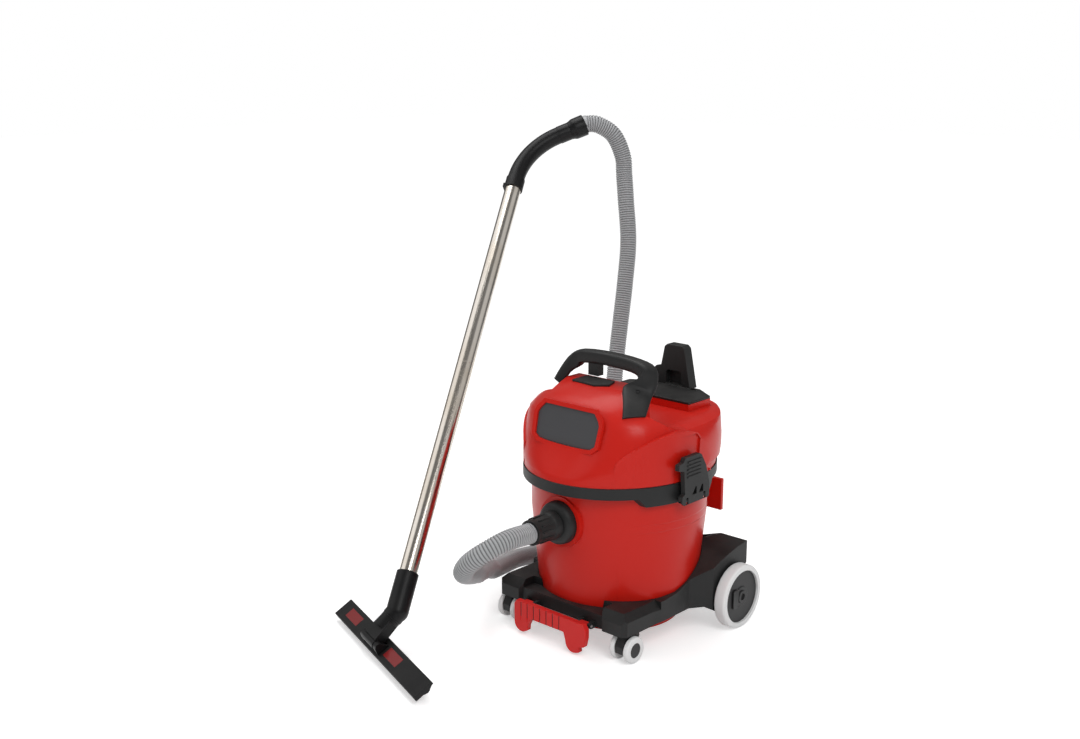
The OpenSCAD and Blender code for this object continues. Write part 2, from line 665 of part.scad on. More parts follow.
function trolley_side(g) = [[-trolley_front - cut, block_z - g * 2], [-trolley_front - cut, corner_z - 6 - g],
    [-wall_y + g, corner_z - g], [-92, corner_z - 1 - g], [-60, corner_z - g], [-22, corner_z + 4 - g],
    [10, corner_z + 16 - g], [35, corner_z + 28 - g], [60, corner_z + 39 - g], [95, corner_z + 50 - g],
    [130, fender_z - 4 - g], [trolley_rear + cut, fender_z - g], [trolley_rear + cut, fender_z - 44 - g * 2],
    [trolley_rear - 8, fender_z - 50 - g * 2], [trolley_rear - 14, fender_z - 117 - g * 2],
    [66, fender_z - 117 - g * 2], [40, skirt_z - g * 2], [-86, skirt_z - g * 2], [-92, block_z - g * 2]];

module trolley_form(g) intersection() {
    translate([0, 0, -50]) linear_extrude(300) polygon(mirrored(trolley_half(g)));
    side_plate(-220, 220, trolley_side(g));
}

module trolley() color(black) {
    well_r = tank_radius(seat_z + 60) + well_gap + trolley_wall;
    difference() {
        union() {
            difference() {
                trolley_form(0);
                difference() {
                    trolley_form(trolley_wall);
                    cylinder(r = well_r, h = 200);
                    translate([-200, -200, corner_z - 18]) cube([400, 144, 60]);
                    translate([-98 - trolley_wall, -200, 0]) cube([2 * (98 + trolley_wall), 90, 200]);
                }
            }
            both_sides() intersection() {
                translate([castor_x, -castor_front, block_z]) cylinder(r = stem_d / 2 + 7, h = 60);
                trolley_form(1);
            }
            both_sides() translate([0, axle_y, axle_z]) rod_x(well_r - 20, fender_half - 1, stub_d / 2 + 8);
            for (x = [-pedal_left + 5, -pedal_left + 31, pedal_right - 35, pedal_right - 9])
                pedal_ear(x);
        }
        tank_envelope(well_gap, 260);
        translate([0, 0, -cut]) cylinder(r = foot_r + 3, h = seat_z + 3);
        translate([0, 0, -cut]) cylinder(r = tank_low_r - 4, h = seat_z - 6 + cut);
        translate([-98, -wall_y - 30, seat_z + 26]) cube([196, 60, 60]);
        both_sides() front_plate(-200, -70, [[corner_half - 14, corner_z + cut], [corner_half + 9, corner_z + cut],
            [corner_half + 9, corner_z - 22]]);
        side_plate(-200, 200, [[-trolley_front - 5, corner_z - 24], [-trolley_front - 5, corner_z + cut],
            [-trolley_front + 14, corner_z + cut]]);
        front_plate(trolley_rear - 30, trolley_rear + 20, [[-60, fender_z - 22], [60, fender_z - 22],
            [130, fender_z + cut], [-130, fender_z + cut]]);
        both_sides() translate([castor_x, -castor_front, 0]) cylinder(r = stem_d / 2 + run_gap, h = corner_z - 8);
        both_sides() translate([0, axle_y, axle_z]) rod_x(126, 220, stub_d / 2 + seat_gap);
        pedal_pin_bore();
    }
}

module stub_axle() color(steel) translate([0, axle_y, axle_z]) {
    rod_x(127, wheel_out - 3, stub_d / 2);
    rod_x(wheel_out - 3, wheel_out, stub_d / 2 + 4);
}

// Rear wheels ---------------------------------------------------------------------------------

wheel_in = fender_half + wheel_gap;
module wheel_disc() color(grey) translate([0, axle_y, axle_z]) difference() {
    union() {
        rod_x(wheel_in, wheel_out - 5, disc_d / 2);
        rod_x(wheel_in - 1, wheel_out - 3 - 0.4, 20);
    }
    rod_x(wheel_in - 2, wheel_out + cut, stub_d / 2 + run_gap);
}

module wheel_tyre() color(white) translate([wheel_in, axle_y, axle_z]) rotate([0, 90, 0]) rotate_extrude()
    polygon(concat([[disc_d / 2 + seat_gap, 0]],
        arc([wheel_d / 2 - 5, 5], 5, -90, 0, 4), arc([wheel_d / 2 - 5, wheel_w - 5], 5, 0, 90, 4),
        [[disc_d / 2 + seat_gap, wheel_w]]));

// Castors -------------------------------------------------------------------------------------

castor_y = -castor_front - castor_trail;
castor_r = castor_d / 2;
fork_half = 9;
tyre_in = fork_half + 1.5;
tyre_out = tyre_in + castor_w;
module castor_fork() color(black) translate([castor_x, 0, 0]) difference() {
    union() {
        translate([0, -castor_front, 44]) cylinder(r = stem_d / 2, h = corner_z - 10 - 44);
        translate([0, -castor_front, block_z - 6.3]) cylinder(r = tyre_in - 0.5, h = 6);
        side_plate(-fork_half, fork_half, [[castor_y - castor_r + 4, castor_r - 6], [castor_y - castor_r + 2, castor_r + 8],
            [castor_y - 14, block_z - 4], [castor_y - 4, block_z - 0.6], [-castor_front + 8, block_z - 0.6],
            [-castor_front + 10, block_z - 10], [castor_y + 10, castor_r - 8], [castor_y, castor_r - 12]]);
    }
    translate([0, castor_y, castor_r]) rod_x(-20, 20, 4 + run_gap);
}

module castor_hub() color(grey) translate([castor_x, castor_y, castor_r]) {
    rod_x(-tyre_out + 1, tyre_out - 1, 4);
    for (s = [-1, 1]) rod_x(s > 0 ? tyre_in : -tyre_out + 1, s > 0 ? tyre_out - 1 : -tyre_in, castor_hub_d / 2);
}

module castor_tyre(x0) color(white) translate([castor_x + x0, castor_y, castor_r]) rotate([0, 90, 0])
    rotate_extrude() polygon(concat([[castor_hub_d / 2 + seat_gap, 0]],
        arc([castor_r - 3, 3], 3, -90, 0, 3), arc([castor_r - 3, castor_w - 3], 3, 0, 90, 3),
        [[castor_hub_d / 2 + seat_gap, castor_w]]));

// Brake pedal ---------------------------------------------------------------------------------

pedal_y = -wall_y - pedal_gap;
pin_y = -wall_y - 10;
pedal_pin_z = 58;
ear_w = 6;

module pedal_ear(x) {
    translate([x, pin_y, pedal_pin_z]) rod_x(0, ear_w, 6);
    translate([x, pin_y, pedal_pin_z - 6]) cube([ear_w, 11, 12]);
}

module pedal_pin_bore() translate([0, pin_y, pedal_pin_z])
    rod_x(-pedal_left, pedal_right, pedal_pin_d / 2 + run_gap);

module pedal_pin() color(steel) translate([0, pin_y, pedal_pin_z])
    rod_x(-pedal_left + 5, pedal_right - 3, pedal_pin_d / 2);

module brake_pedal() color(red) {
    l = -pedal_left;
    r = pedal_right;
    difference() {
        union() {
            front_plate(pedal_y - pedal_t, pedal_y, concat(
                [[l + 5, 67], [l, 60], [l, 40]],
                arc([l + 18, 24], 18, 180, 290, 6),
                [[l + 33, 12], [l + 34, 22], [l + 42, 38], [r - 54, 38]],
                arc([r - 31, 22], 18, 180, 290, 6),
                [[r - 16, 8], [r - 17, 18], [r - 4, 22], [r, 40], [r, 56], [r - 8, 66]]));
            for (x = [l + 11 + 0.3, r - 29 + 0.3]) {
                translate([x, pin_y, pedal_pin_z]) rod_x(0, 19.4, 5.5);
                translate([x, pedal_y - 2, pedal_pin_z - 5.5]) cube([19.4, pin_y - pedal_y + 2, 11]);
            }
        }
        for (i = [1:grooves]) translate([l + groove_pitch * i, pedal_y - pedal_t - cut, 30]) cube([2, 3, 50]);
        pedal_pin_bore();
    }
}

// Hose ----------------------------------------------------------------------------------------

cuff_mouth = -pocket_y - flange_out - cuff_len;
module inlet_cuff() color(black) translate([0, -pocket_y - flange_out, inlet_z]) rotate([90, 0, 0]) {
    rotate_extrude() polygon([[15, -28], [flange_bore / 2 - run_gap, -28], [flange_bore / 2 - run_gap, body_gap],
        [27, body_gap], [27, 14], [25, 18], [22.5, cuff_len - 7], [23.5, cuff_len - 4], [23.5, cuff_len], [15, cuff_len]]);
    for (a = [0:30:330]) rotate(a + 7) translate([20, -1.5, 16]) cube([5.4, 3, cuff_len - 28]);
}

// Route of the loose hose, from the hand tube's cuff over and down behind the tank, round on the
// floor and up to the inlet: points chosen by hand.
hose_route = [[-393, 391, 917], [-371, 419, 894], [-358, 436, 848], [-352, 435, 807], [-339, 426, 753],
    [-323, 417, 663], [-315, 398, 574], [-308, 375, 486], [-300, 351, 398], [-293, 333, 309],
    [-288, 321, 218], [-283, 312, 158], [-279, 296, 99], [-278, 261, 51], [-280, 207, 24], [-280, 146, 21],
    [-275, 87, 33], [-264, 28, 45], [-248, -30, 58], [-228, -86, 68], [-203, -140, 81], [-189, -162, 92],
    [-172, -187, 107], [-157, -212, 114], [-143, -238, 121], [-125, -261, 130], [-109, -284, 141],
    [-96, -307, 150], [-81, -337, 164], [-63, -356, 180], [-42, -363, 201], [-20, -355, 221],
    [-4, -333, 236], [3, -302, 242]];
hose_points = concat([hand_end + hand_dir * body_gap, hand_end + hand_dir * 4], hose_route,
    [[0, cuff_mouth - 10, inlet_z], [0, cuff_mouth - body_gap, inlet_z]]);

// Catmull-Rom curve through the points, then a round tube along it.
function curve_pt(p, i, t) = let (a = p[max(i - 1, 0)], b = p[i], c = p[i + 1], d = p[min(i + 2, len(p) - 1)])
    0.5 * (2 * b + (c - a) * t + (2 * a - 5 * b + 4 * c - d) * t * t + (3 * b - a - 3 * c + d) * t * t * t);
function unit(v) = v / norm(v);
function flat_side(d) = let (s = cross(d, [0, 0, 1])) norm(s) < 0.02 ? [1, 0, 0] : unit(s);
// Heading of the tube at a point of the path: its straight lead out of the cuff is two steps long.
function heading_at(path, i) = i <= 2 ? hand_dir : i == len(path) - 1 ? [0, 1, 0]
    : unit(path[i + 1] - path[i - 1]);
// Carries the side direction along the curve, so that the tube doesn't twist.
function carried(path, i, side) = let (d = heading_at(path, i), s = unit(side - d * (side * d)),
    here = [[s, cross(d, s)]]) i == len(path) - 1 ? here : concat(here, carried(path, i + 1, s));

module hose() color(grey) {
    sides = 10;
    path = concat([for (i = [0:len(hose_points) - 2]) for (t = [0, 0.5]) curve_pt(hose_points, i, t)],
        [hose_points[len(hose_points) - 1]]);
    frames = carried(path, 0, flat_side(hand_dir));
    skin([for (i = [0:len(path) - 1]) [for (k = [0:sides - 1]) path[i]
        + hose_d / 2 * (frames[i][0] * cos(360 * k / sides) + frames[i][1] * sin(360 * k / sides))]]);
}

module skin(rings) {
    n = len(rings[0]);
    walls = [for (k = [0:len(rings) - 2]) for (i = [0:n - 1]) let (j = (i + 1) % n)
        each [[k * n + i, (k + 1) * n + i, k * n + j], [k * n + j, (k + 1) * n + i, (k + 1) * n + j]]];
    polyhedron([for (ring = rings) each ring],
        concat([[for (i = [0:n - 1]) i], [for (i = [n - 1:-1:0]) (len(rings) - 1) * n + i]], walls));
}

// Wand ----------------------------------------------------------------------------------------

tube_r = tube_d / 2;
wand_seat = 20;
insert = 40;
lap = 45;
module at_sleeve() aim(sleeve_pt, wand_turn, wand_slope) children();
module at_hand() aim(hand_start, wand_turn, wand_slope) rotate([0, 0, bend_roll]) children();
module at_hand_end() at_hand() translate([bend_r * (1 - cos(bend_angle)), 0, bend_start + bend_r * sin(bend_angle)])
    rotate([0, bend_angle, 0]) children();

module wand_lower() color(steel) at_sleeve() translate([0, 0, -insert]) tube(tube_r, tube_r - tube_wall, lower_len + insert);

module wand_upper() color(steel) at_sleeve() {
    translate([0, 0, lower_len]) tube(tube_r, tube_r - 2 * tube_wall - 0.2, upper_len + wand_seat);
    translate([0, 0, lower_len - lap]) tube(tube_r - tube_wall - seat_gap, tube_r - 2 * tube_wall - 0.2, lap + 1);
}

end_len = 26;
module hand_tube() color(black) at_hand() {
    r = hand_d / 2;
    difference() {
        union() {
            translate([0, 0, -4]) cylinder(r = r + 2, h = bend_start + 4);
            translate([bend_r, 0, bend_start]) mirror([1, 0, 0]) rotate([90, 0, 0])
                rotate_extrude(angle = bend_angle) translate([bend_r, 0]) circle(r = r);
            translate([bend_r * (1 - cos(bend_angle)), 0, bend_start + bend_r * sin(bend_angle)])
                rotate([0, bend_angle, 0]) cylinder(r = r + 0.8, h = end_len);
        }
        translate([0, 0, -5]) cylinder(r = tube_r + seat_gap, h = 5 + wand_seat + 0.2);
        translate([-r - 4, -12, -5]) cube([4.2, 24, 12 + slider_travel]);
    }
}

module hose_cuff() color(black) at_hand_end() translate([0, 0, end_len + body_gap]) {
    cylinder(r = cuff_r - 2.5, h = 26);
    translate([0, 0, 25]) cylinder(r = cuff_r, h = hand_len - end_len - body_gap - 25);
}

module air_slider() color(black) at_hand() translate([-hand_d / 2 - 3.6, -9, -3]) cube([3.5, 18, 10]);

// Floor nozzle --------------------------------------------------------------------------------

neck_r = 19;
spigot_r = 15;
collar_h = 15;
module at_neck() aim(tilt_pt, nozzle_turn, neck_slope) children();

module nozzle_elbow() color(black) {
    difference() {
        union() {
            translate(elbow_pt) sphere(r = tube_r + 3.5);
            aim(elbow_pt, wand_turn, wand_slope) cylinder(r = tube_r + 3.5, h = sleeve_len);
            at_neck() translate([0, 0, neck_len - collar_h]) cylinder(r = tube_r + 2.5, h = collar_h);
            at_neck() translate([0, 0, neck_len - 40]) cylinder(r = spigot_r, h = 40);
        }
        aim(sleeve_pt, wand_turn, wand_slope) translate([0, 0, -insert - 0.2]) cylinder(r = tube_r + seat_gap, h = 100);
    }
}

// The nozzle's own frame: X along its width, Y up its sloping top and Z out of that top.
module at_nozzle() translate(nozzle_mid) rotate([0, 0, -nozzle_turn]) rotate([nozzle_tilt, 0, 0]) children();
hinge_s = hinge_back * cos(nozzle_tilt) + hinge_rise * sin(nozzle_tilt);
hinge_n = hinge_rise * cos(nozzle_tilt) - hinge_back * sin(nozzle_tilt);
tilt_pin_r = 3.5;
barrel_r = 9;
barrel_half = 24;
ear_out = 38;
module nozzle_neck() color(black) {
    difference() {
        union() {
            at_neck() translate([0, 0, 28]) cylinder(r = neck_r, h = neck_len - collar_h - body_gap - 28);
            at_neck() translate([0, 10, 0]) rotate([90, 0, 0]) linear_extrude(20)
                polygon([[-barrel_half, 5], [barrel_half, 5], [20, 46], [-20, 46]]);
        }
        at_neck() translate([0, 0, neck_len - 42]) cylinder(r = spigot_r + run_gap, h = 60);
    }
    at_nozzle() translate([-neck_off, hinge_s, hinge_n]) {
        rod_x(-barrel_half, barrel_half, barrel_r);
        rod_x(-ear_out + 1, ear_out - 1, tilt_pin_r);
    }
}

half_w = nozzle_w / 2;
shell_t = 3;
roller_len = 14;
roller_u = half_w - shell_t - 1 - roller_len / 2;
roller_s = nozzle_d * 0.6;
roller_n = -shell_t - 0.6 - roller_d / 2;
axle_r = 2;
module both_ends() for (e = [-1, 1]) translate([e * roller_u, 0, 0]) children();
module nozzle_shell() color(black) at_nozzle() difference() {
    union() {
        side_plate(-half_w, half_w, [[0, -10], [0, -1], [1, 0], [nozzle_d - 1, 0], [nozzle_d, -1], [nozzle_d, -6],
            [nozzle_d - shell_t, -6], [nozzle_d - shell_t, -shell_t], [shell_t, -shell_t], [shell_t, -10]]);
        for (x = [-half_w, half_w - shell_t, -half_w + 19, half_w - 19 - shell_t])
            side_plate(x, x + shell_t, [[1, -10], [1, -1], [nozzle_d - 1, -1], [nozzle_d - 1, -5],
                [roller_s + 8, -9], [roller_s + 4, -12], [roller_s - 4, -12], [roller_s - 9, -10]]);
        for (s = [-1, 1]) translate([-neck_off + s * (barrel_half + ear_out) / 2, 0, 0])
            side_plate(-(ear_out - barrel_half) / 2, (ear_out - barrel_half) / 2,
                concat([[hinge_s - 10, -1]], arc([hinge_s, hinge_n], 8, 180, 0, 8), [[hinge_s + 18, -1]]));
    }
    translate([-neck_off, hinge_s, hinge_n]) {
        translate([-barrel_half - 0.4, -16, -hinge_n + 0.02]) cube([2 * barrel_half + 0.8, 40, 30]);
        rod_x(-ear_out + 0.8, ear_out - 0.8, tilt_pin_r + run_gap);
    }
    both_ends() translate([0, roller_s, roller_n]) rod_x(-roller_len / 2 - 2.8, roller_len / 2 + 2.8, axle_r + run_gap);
    for (s = [-1, 1]) nozzle_window_form(s, seat_gap);
}

window_mid = -37.5;
module nozzle_window_form(s, g) translate([window_mid + s * window_off - window_w / 2 - g, 12 - g, -1.5 - g])
    cube([window_w + 2 * g, 20 + 2 * g, 1.9 + g]);
module nozzle_window(s) color(red) at_nozzle() nozzle_window_form(s, 0);

brush_h = 17.4;
module nozzle_brushes() color(black) at_nozzle() {
    l = nozzle_w - 2 * shell_t - 40;
    translate([-l / 2, shell_t + seat_gap, -shell_t - seat_gap - brush_h]) cube([l, 5, brush_h]);
    translate([-l / 2, nozzle_d - shell_t - 5.1, -shell_t - seat_gap - 9]) cube([l, 5, 9]);
}

module nozzle_roller(s) color(grey) at_nozzle() translate([s * roller_u, roller_s, roller_n]) {
    rod_x(-roller_len / 2, roller_len / 2, roller_d / 2);
    rod_x(-roller_len / 2 - 2.4, roller_len / 2 + 2.4, axle_r);
}

// Nodes ---------------------------------------------------------------------------------------

module left() mirror([1, 0, 0]) children();

in_place() trolley();
in_place() left() stub_axle();  // stub_axle_left
in_place() stub_axle();  // stub_axle_right
in_place() tank();
in_place() tank_ring();
in_place() inlet_flange();
in_place() tank_bracket();
in_place() head_cover();
in_place() head_base();
in_place() head_seal();
in_place() carry_handle();
in_place() top_plate();
in_place() deck_plate();
in_place() rear_post();
in_place() control_panel();
in_place() motor_housing();
in_place() motor_rotor();
in_place() filter_cage();
in_place() filter_cartridge();
in_place() filter_nut();
in_place() float_ball();
in_place() left() latch();  // latch_left
in_place() latch();  // latch_right
in_place() left() latch_pin();  // latch_pin_left
in_place() latch_pin();  // latch_pin_right
in_place() left() wheel_disc();  // wheel_disc_left
in_place() wheel_disc();  // wheel_disc_right
in_place() left() wheel_tyre();  // wheel_tyre_left
in_place() wheel_tyre();  // wheel_tyre_right
in_place() left() castor_fork();  // castor_fork_left
in_place() castor_fork();  // castor_fork_right
in_place() left() castor_hub();  // castor_hub_left
in_place() castor_hub();  // castor_hub_right
in_place() left() castor_tyre(-tyre_out);  // castor_tyre_left_in
in_place() left() castor_tyre(tyre_in);  // castor_tyre_left_out
in_place() castor_tyre(-tyre_out);  // castor_tyre_right_in
in_place() castor_tyre(tyre_in);  // castor_tyre_right_out
in_place() brake_pedal();
in_place() pedal_pin();
in_place() inlet_cuff();
in_place() hose();
in_place() hose_cuff();
in_place() hand_tube();
in_place() air_slider();
in_place() wand_upper();
in_place() wand_lower();
in_place() nozzle_elbow();
in_place() nozzle_neck();
in_place() nozzle_shell();
in_place() nozzle_window(-1);  // nozzle_window_left
in_place() nozzle_window(1);  // nozzle_window_right
in_place() nozzle_brushes();
in_place() nozzle_roller(-1);  // nozzle_roller_left
in_place() nozzle_roller(1);  // nozzle_roller_right
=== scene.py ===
# %% [markdown]
# # A shop vacuum, dressed for its picture
# The construction model already has every piece at its real size: trolley, tank, motor head, hose,
# steel wand and floor nozzle. It arrives as a fixed frame, one object per piece. This lesson gives
# those pieces their edges and finishes, and makes the few surfaces that need more shape than the
# construction model carries, such as the ribs of the hose and the hairs of the nozzle's brush.

import json
import math

import bmesh
import bpy
import numpy as np
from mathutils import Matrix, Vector
from mathutils.bvhtree import BVHTree


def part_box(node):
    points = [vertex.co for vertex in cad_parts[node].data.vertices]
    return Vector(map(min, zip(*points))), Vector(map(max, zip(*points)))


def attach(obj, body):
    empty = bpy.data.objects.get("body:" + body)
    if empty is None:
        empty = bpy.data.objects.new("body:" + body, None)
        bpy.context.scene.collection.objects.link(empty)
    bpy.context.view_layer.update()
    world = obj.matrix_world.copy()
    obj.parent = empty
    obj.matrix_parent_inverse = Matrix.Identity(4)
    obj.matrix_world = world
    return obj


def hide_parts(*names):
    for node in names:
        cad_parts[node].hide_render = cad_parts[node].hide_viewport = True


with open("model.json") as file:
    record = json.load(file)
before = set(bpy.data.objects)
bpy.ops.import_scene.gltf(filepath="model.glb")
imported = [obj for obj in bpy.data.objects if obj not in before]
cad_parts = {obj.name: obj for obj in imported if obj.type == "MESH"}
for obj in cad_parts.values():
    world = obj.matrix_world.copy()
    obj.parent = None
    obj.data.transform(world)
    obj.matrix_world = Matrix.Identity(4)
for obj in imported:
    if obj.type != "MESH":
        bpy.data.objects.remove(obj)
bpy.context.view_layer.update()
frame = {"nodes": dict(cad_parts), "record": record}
nodes = frame["nodes"]
behaviour = frame["record"]["behaviour"]
body_of = {node: body for body, members in behaviour["bodies"].items() for node in members}
slot_of = {part["node"]: part["material_slot"] for part in frame["record"]["subparts"]}
axis_of = {joint["name"]: np.array(joint["axis"]) for joint in behaviour["joints"]}

# %% [markdown]
# ## Where things are
# Most sizes in the construction model are measured from the tank's own axis. The motor's shaft lies
# on that axis, so the middle of the rotor's box gives it, and many places below start from there.

# %% The tank's axis
low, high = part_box("motor_rotor")
AXIS = np.array([(low.x + high.x) / 2, (low.y + high.y) / 2, 0.0])
print("tank axis", AXIS.round(4))


def from_axis(points):
    """Points given in metres from the tank's axis, moved to the frame."""
    return np.asarray(points, float) + AXIS


# %% [markdown]
# ## The camera
# A product picture of a tall, narrow thing is taken from a few metres away with a longish lens, so
# that upright lines stay nearly upright. The camera stands in front and to the right, and looks
# down a little.

# %% Camera
CAMERA_AT = from_axis([1.5512, -1.9102, 1.0895])
CAMERA_TURN = math.radians(42.626)
CAMERA_DOWN = math.radians(13.604)
SENSOR = 36.0
LENS = 44.78

camera_data = bpy.data.cameras.new("camera")
camera_data.sensor_width = SENSOR
camera_data.lens = LENS
camera_data.clip_end = 50
camera = bpy.data.objects.new("camera", camera_data)
camera.location = CAMERA_AT
camera.rotation_euler = (math.pi / 2 - CAMERA_DOWN, 0, CAMERA_TURN)
bpy.context.collection.objects.link(camera)
bpy.context.scene.camera = camera
print("camera at", CAMERA_AT.round(3))

# %% [markdown]
# ## Helpers for surfaces
# A sheet of vertices on a grid is the simplest surface there is: row i, column j, and four
# neighbours make a face. Closing the grid across its columns gives a tube, and one face over the
# first row and one over the last close its ends. Boxes are simple enough to list.

# %% Grid surfaces


def mesh_object(name, verts, faces, smooth=True):
    """A mesh object from an array of vertices and a list of faces, with its place in its mesh."""
    mesh = bpy.data.meshes.new(name)
    mesh.from_pydata(np.asarray(verts, float).tolist(), [], [list(map(int, f)) for f in faces])
    mesh.update()
    mesh.polygons.foreach_set("use_smooth", np.full(len(mesh.polygons), smooth))
    made = bpy.data.objects.new(name, mesh)
    bpy.context.collection.objects.link(made)
    return made


def tube_object(name, grid):
    """A closed tube: grid[i, j] is point j round ring i, and one face covers each end."""
    rows, columns = grid.shape[:2]
    ring, point = np.meshgrid(np.arange(rows - 1), np.arange(columns), indexing="ij")
    here = ring * columns + point
    beside = ring * columns + (point + 1) % columns
    faces = np.stack([here, beside, beside + columns, here + columns], -1).reshape(-1, 4).tolist()
    faces.append(list(range(columns))[::-1])
    faces.append([(rows - 1) * columns + j for j in range(columns)])
    return mesh_object(name, grid.reshape(-1, 3), faces)


def round_angles(count):
    """Equal angles once round: full turn * index / count."""
    return 2 * np.pi * np.arange(count) / count


BOX_FACES = ((0, 1, 2, 3), (7, 6, 5, 4), (0, 4, 5, 1), (1, 5, 6, 2), (2, 6, 7, 3), (3, 7, 4, 0))


def box_faces(first):
    """The six faces of a box whose eight corners start at an index: four of one end, then the other."""
    return [[first + i for i in face] for face in BOX_FACES]


# %% [markdown]
# ## Softened edges
# Moulded plastic has no sharp edge: each corner is rounded by a fraction of a millimetre, or by two
# on a big moulding, and that thin round is what catches the light. The construction model's meshes
# are loose triangles, so a copy is merged first, its smooth stretches are marked smooth, and a
# bevel rounds what is left.

# %% Sharp edges and their rounds
SHARP = math.radians(32.0)


def mark_sharp(work):
    """An edge is smooth where two faces meet at less than the sharp angle."""
    for edge in work.edges:
        edge.smooth = len(edge.link_faces) == 2 and edge.calc_face_angle(0.0) < SHARP


def add_rounding(made, width):
    """A bevel of this width on the sharp edges; a width of 0 leaves them as they are."""
    if not width:
        return
    rounding = made.modifiers.new("rounding", "BEVEL")
    rounding.width = width
    rounding.segments = 2
    rounding.limit_method = "ANGLE"
    rounding.angle_limit = SHARP


# %% A dressed copy of a construction piece
MERGE = 1e-6


def dressed(node, width):
    """A merged copy of a construction node, smooth below the sharp angle and rounded above it."""
    mesh = nodes[node].data.copy()
    work = bmesh.new()
    work.from_mesh(mesh)
    bmesh.ops.remove_doubles(work, verts=work.verts, dist=MERGE)
    bmesh.ops.dissolve_degenerate(work, edges=work.edges, dist=MERGE)
    mark_sharp(work)
    for face in work.faces:
        face.smooth = True
    work.to_mesh(mesh)
    work.free()
    made = bpy.data.objects.new(node + "_dressed", mesh)
    bpy.context.collection.objects.link(made)
    if mesh.has_custom_normals:
        bpy.context.view_layer.objects.active = made
        bpy.ops.mesh.customdata_custom_splitnormals_clear()
    add_rounding(made, width)
    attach(made, body_of[node])
    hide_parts(node)
    return made


# %% [markdown]
# ## Finishes
# Three effects turn up in several finishes: a fine moulded grain, the paler rubbed look of a worn
# edge or a scuffed patch, and a thin veil of workshop dust on upward faces. Each is one node group
# that is built once and placed in the materials with its own numbers.

# %% Shader helpers


def new_group(name, inputs, outputs):
    """An empty node group with its sockets and its two end nodes."""
    group = bpy.data.node_groups.new(name, "ShaderNodeTree")
    for label, kind, value in inputs:
        made = group.interface.new_socket(name=label, in_out="INPUT", socket_type=kind)
        if value is not None:
            made.default_value = value
    for label, kind in outputs:
        group.interface.new_socket(name=label, in_out="OUTPUT", socket_type=kind)
    return group, group.nodes.new("NodeGroupInput"), group.nodes.new("NodeGroupOutput")


def new_material(name):
    """A material with its node tree, its shader and the piece's object coordinates."""
    material = bpy.data.materials.new(name)
    material.use_nodes = True
    tree = material.node_tree
    coords = tree.nodes.new("ShaderNodeTexCoord").outputs["Object"]
    return material, tree, tree.nodes["Principled BSDF"], coords


def math_node(tree, operation, a, b=None, clamp=False):
    """A Math node whose inputs are sockets or plain numbers; returns its output."""
    node = tree.nodes.new("ShaderNodeMath")
    node.operation = operation
    node.use_clamp = clamp
    for index, value in enumerate((a, b)):
        if value is None:
            continue
        if isinstance(value, (int, float)):
            node.inputs[index].default_value = value
        else:
            tree.links.new(value, node.inputs[index])
    return node.outputs[0]


def noise_node(tree, vector, scale, detail=3.0, roughness=0.5):
    """A Noise Texture on the given vector; returns its factor."""
    node = tree.nodes.new("ShaderNodeTexNoise")
    node.inputs["Detail"].default_value = detail
    node.inputs["Roughness"].default_value = roughness
    tree.links.new(vector, node.inputs["Vector"])
    if isinstance(scale, (int, float)):
        node.inputs["Scale"].default_value = scale
    else:
        tree.links.new(scale, node.inputs["Scale"])
    return node.outputs["Fac"]


def ramp(tree, factor, low_at, high_at):
    """A Map Range from low_at..high_at to 0..1, clamped."""
    node = tree.nodes.new("ShaderNodeMapRange")
    node.inputs["From Min"].default_value = low_at
    node.inputs["From Max"].default_value = high_at
    tree.links.new(factor, node.inputs["Value"])
    return node.outputs["Result"]


def bump_node(tree, height, strength, distance, under=None):
    """The normal of a surface raised by height * distance; under is the normal of a bump below it."""
    node = tree.nodes.new("ShaderNodeBump")
    node.inputs["Strength"].default_value = strength
    node.inputs["Distance"].default_value = distance
    tree.links.new(height, node.inputs["Height"])
    if under is not None:
        tree.links.new(under, node.inputs["Normal"])
    return node.outputs["Normal"]


# %% Grain: a moulded surface's fine height
FLOAT, VECTOR = "NodeSocketFloat", "NodeSocketVector"
SLOW_WAVES = 35.0
grain_group, grain_in, grain_out = new_group(
    "moulded_grain", [("Vector", VECTOR, None), ("Scale", FLOAT, 900.0), ("Coarse", FLOAT, 0.3)],
    [("Height", FLOAT)])
grain_at = grain_in.outputs["Vector"]
fine = noise_node(grain_group, grain_at, grain_in.outputs["Scale"], detail=2.0, roughness=0.6)
slow = noise_node(grain_group, grain_at, SLOW_WAVES, detail=2.0, roughness=0.5)
slow_part = math_node(grain_group, "MULTIPLY", slow, grain_in.outputs["Coarse"])
grain_height = math_node(grain_group, "ADD", fine, slow_part)
grain_group.links.new(grain_height, grain_out.inputs["Height"])

# %% Wear: where an edge or a patch has been rubbed
STREAK_SQUEEZE = (1.0, 1.0, 0.12)
STREAK_LINES = 260.0
wear_group, wear_in, wear_out = new_group(
    "rubbed_wear", [("Vector", VECTOR, None), ("Scale", FLOAT, 12.0), ("Amount", FLOAT, 0.5)],
    [("Mask", FLOAT)])
wear_at = wear_in.outputs["Vector"]
patch = noise_node(wear_group, wear_at, wear_in.outputs["Scale"], detail=6.0, roughness=0.62)
streak_map = wear_group.nodes.new("ShaderNodeMapping")
streak_map.inputs["Scale"].default_value = STREAK_SQUEEZE
wear_group.links.new(wear_at, streak_map.inputs["Vector"])
streak = noise_node(wear_group, streak_map.outputs["Vector"], STREAK_LINES, detail=2.0, roughness=0.7)
patch_part = ramp(wear_group, patch, low_at=0.52, high_at=0.72)
streak_part = ramp(wear_group, streak, low_at=0.45, high_at=0.75)
worn = math_node(wear_group, "MULTIPLY", patch_part, streak_part)
wear_mask = math_node(wear_group, "MULTIPLY", worn, wear_in.outputs["Amount"], clamp=True)
